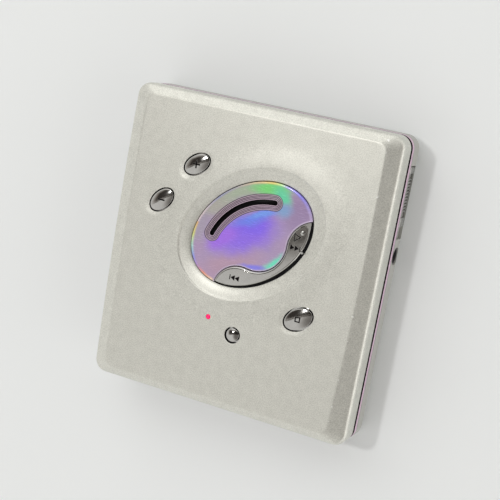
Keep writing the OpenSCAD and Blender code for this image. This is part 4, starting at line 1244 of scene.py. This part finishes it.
# %% Chips and capacitors
PIN_ONES = ((-11, 26), (4, 22), (18, 26.4), (23, -5), (24, -19))
chips = Finish("chip_epoxy", (0.02, 0.02, 0.022), 0.5)
CAPACITOR_Y, CAPACITOR_X, CAPACITOR_PITCH = 28.4, -11.0, 3.4
is_capacitor = chips.y.step(CAPACITOR_Y, CAPACITOR_Y + 0.1)
ends = ((chips.x - CAPACITOR_X) / CAPACITOR_PITCH).sum("FRACT") * CAPACITOR_PITCH
metal_end = is_capacitor * either(1 - ends.step(0.34, 0.38), ends.step(1.22, 1.26))
epoxy = chips.noise(0.6).blend((0.014, 0.014, 0.016), (0.032, 0.032, 0.035))
pin_one = either(*(1 - chips.away(spot).step(0.42, 0.5) for spot in PIN_ONES))
body_colour = pin_one.blend(is_capacitor.blend(epoxy, (0.36, 0.26, 0.16)), (0.10, 0.10, 0.105))
chips.set(Base_Color=metal_end.blend(body_colour, (0.70, 0.70, 0.68)), Metallic=metal_end,
          Roughness=0.5 - metal_end * 0.2)
chips.bump(chips.noise(0.12) * 0.3 - pin_one, 0.03, 0.6)
dress(chips, "board_chips")
print("chips dressed")

# %% [markdown]
# Chips stand on rows of bent pins. Each pin is one small bent strip, and a row of them is a loop.

# %% Chip pins
# Each chip's low corner, high corner and thickness
CHIPS = ((-12, 16, -1, 27, 1.0), (3, 15, 13, 23, 0.8), (17, 14.5, 27, 27.5, 1.0), (22, -14, 30, -4, 1.1),
         (23, -28, 29, -18, 1.0))
PIN_PITCH, PIN_HALF, PIN_THICK, BOARD_TOP = 0.65, 0.13, 0.08, 2.0


def chip_pins():
    points, faces = [], []
    for x0, y0, x1, y1, thick in CHIPS:
        for side, edge in ((-1, y0), (1, y1)):
            bends = [(-0.05, thick * 0.5), (0.22, thick * 0.5), (0.3, 0.05), (0.62, 0.03)]
            for x in np.arange(x0 + 0.7, x1 - 0.4, PIN_PITCH):
                start = len(points)
                for out, rise in bends:
                    y, z = edge + side * out, BOARD_TOP + rise
                    points += [(x - PIN_HALF, y, z), (x + PIN_HALF, y, z),
                               (x + PIN_HALF, y, z + PIN_THICK), (x - PIN_HALF, y, z + PIN_THICK)]
                strip = loop_faces(len(bends), 4) + [(3, 2, 1, 0), (12, 13, 14, 15)]
                faces += [tuple(start + v for v in face) for face in strip]
    made = form(points, faces, rolled("tinned_pins", (0.58, 0.58, 0.56), (0.72, 0.72, 0.70), "Y", 0.3))
    settle(made, "chip_pins", "base")
    print("pins have", len(faces), "faces")


chip_pins()

# %% [markdown]
# ## Lens, lamp and battery
#
# The objective lens is coated glass that looks violet. The battery is a flat cell in a shrunk sleeve:
# a plain colour with a paler band, fine crinkles and bare metal at both ends.

# %% The last finishes
lens_glass = Finish("optic_glass", (0.05, 0.03, 0.12), 0.04, Coat_Weight=1.0, Coat_Roughness=0.02, IOR=1.6)
lens_away = lens_glass.away((1.4, -17.0))
lens_glass.set(Base_Color=lens_away.step(0.3, 1.5).blend((0.03, 0.02, 0.16), (0.16, 0.05, 0.20)),
               Roughness=0.03 + lens_away.step(1.5, 1.7) * 0.3)
dress(lens_glass, "objective_lens")

lamp_body = Finish("lamp_white", (0.85, 0.82, 0.76), 0.35)
crystal = 1 - lamp_body.away(LAMP).step(0.2, 0.3)
lamp_body.set(Base_Color=crystal.blend((0.80, 0.78, 0.72), (0.9, 0.2, 0.15)))
dress(lamp_body, "indicator_lamp")

sleeve = Finish("cell_sleeve", (0.30, 0.42, 0.40), 0.35, Coat_Weight=0.3, Coat_Roughness=0.2)
pale_band = sleeve.y.step(10.0, 10.2) * (1 - sleeve.y.step(24.0, 24.2))
cap_end = either(sleeve.y.step(29.9, 30.0), 1 - sleeve.y.step(-35.6, -35.5))
crinkle = sleeve.noise(1.2, 3.0)
wrap = pale_band.blend((0.16, 0.30, 0.34), (0.62, 0.66, 0.64))
sleeve.set(Base_Color=cap_end.blend(wrap, (0.62, 0.61, 0.58)), Metallic=cap_end, Roughness=0.3 + crinkle * 0.15)
sleeve.bump(crinkle, 0.05, 0.4)
dress(sleeve, "battery")
print("every solid has a finish")

# %% [markdown]
# ## The room and the light
#
# A pale floor runs out of sight. The world is an even soft box with a bright patch low beyond the top
# edge and another low on the right, a dim patch to the right of the face, and one dark warm band across
# it. Bright plating is a mirror, and it is this band that gives the buttons their dark upper halves.

# %% Floor
paper = Finish("floor_paper", (0.87, 0.895, 0.90), 0.6)
paper.mottle(60, (0.885, 0.91, 0.92), (0.91, 0.935, 0.945))
floor_mesh = bpy.data.meshes.new("floor")
floor_mesh.from_pydata([(-3, -3, 0), (3, -3, 0), (3, 3, 0), (-3, 3, 0)], [], [(0, 1, 2, 3)])
floor_mesh.materials.append(paper.material)
new_object("floor", floor_mesh)
print("floor at z = 0")

# %% World and lamp
WORLD_LEVEL = 0.97
world = bpy.data.worlds.new("soft_room")
bpy.context.scene.world = world
world.use_nodes = True
sky = world.node_tree
toward = add_node(sky, "ShaderNodeTexCoord", output=0)


def along(direction):
    """How far a direction points the given way."""
    sockets = {0: toward, 1: tuple(direction)}
    return add_node(sky, "ShaderNodeVectorMath", {"operation": "DOT_PRODUCT"}, sockets, 1)


def patch(direction, near, far):
    """1 within near degrees of a direction, fading to 0 at far degrees."""
    way = np.array(direction) / np.linalg.norm(direction)
    return along(way).step(math.cos(math.radians(far)), math.cos(math.radians(near)))


ripple = add_node(sky, "ShaderNodeTexNoise", {}, {"Vector": toward, "Scale": 2.6, "Detail": 1.5})
height_in_view = along(up) + (ripple - 0.5) * 0.16
above_floor = toward.part("Z").step(0.25, 0.5)
dark = height_in_view.step(-0.175, -0.145) * (1 - height_in_view.step(0.24, 0.42))
dark = dark * along(back).step(0.15, 0.45) * above_floor
fold = height_in_view.step(-0.125, -0.11) * (1 - height_in_view.step(-0.085, -0.07))
dark = dark * (1 - fold * 0.55)
window = patch((-0.40, 0.76, 0.52), 8, 28)
side = patch((0.98, -0.1, 0.12), 10, 60)
dim_side = patch((0.42, -0.22, 0.88), 18, 44) * above_floor
strength = (WORLD_LEVEL + window * 0.7 + side) * (1 - dark * 0.93) * (1 - dim_side * 0.72)
tint = dark.blend(dim_side.blend((1.0, 0.99, 0.965), (1.0, 0.94, 0.88)), (0.85, 0.74, 0.64))
background = sky.nodes["Background"]
feed(sky, background.inputs["Color"], tint)
feed(sky, background.inputs["Strength"], strength)

lamp_data = bpy.data.lights.new("key_lamp", "AREA")
lamp_data.shape = "DISK"
lamp_data.size, lamp_data.energy, lamp_data.color = 0.09, 1.6, (1.0, 0.99, 0.97)
key_lamp = new_object("key_lamp", lamp_data)
key_lamp.location = (-0.24, 0.20, 0.90)
key_lamp.rotation_mode = "QUATERNION"
key_lamp.rotation_quaternion = key_lamp.location.to_track_quat("Z", "Y")
print("lights placed")
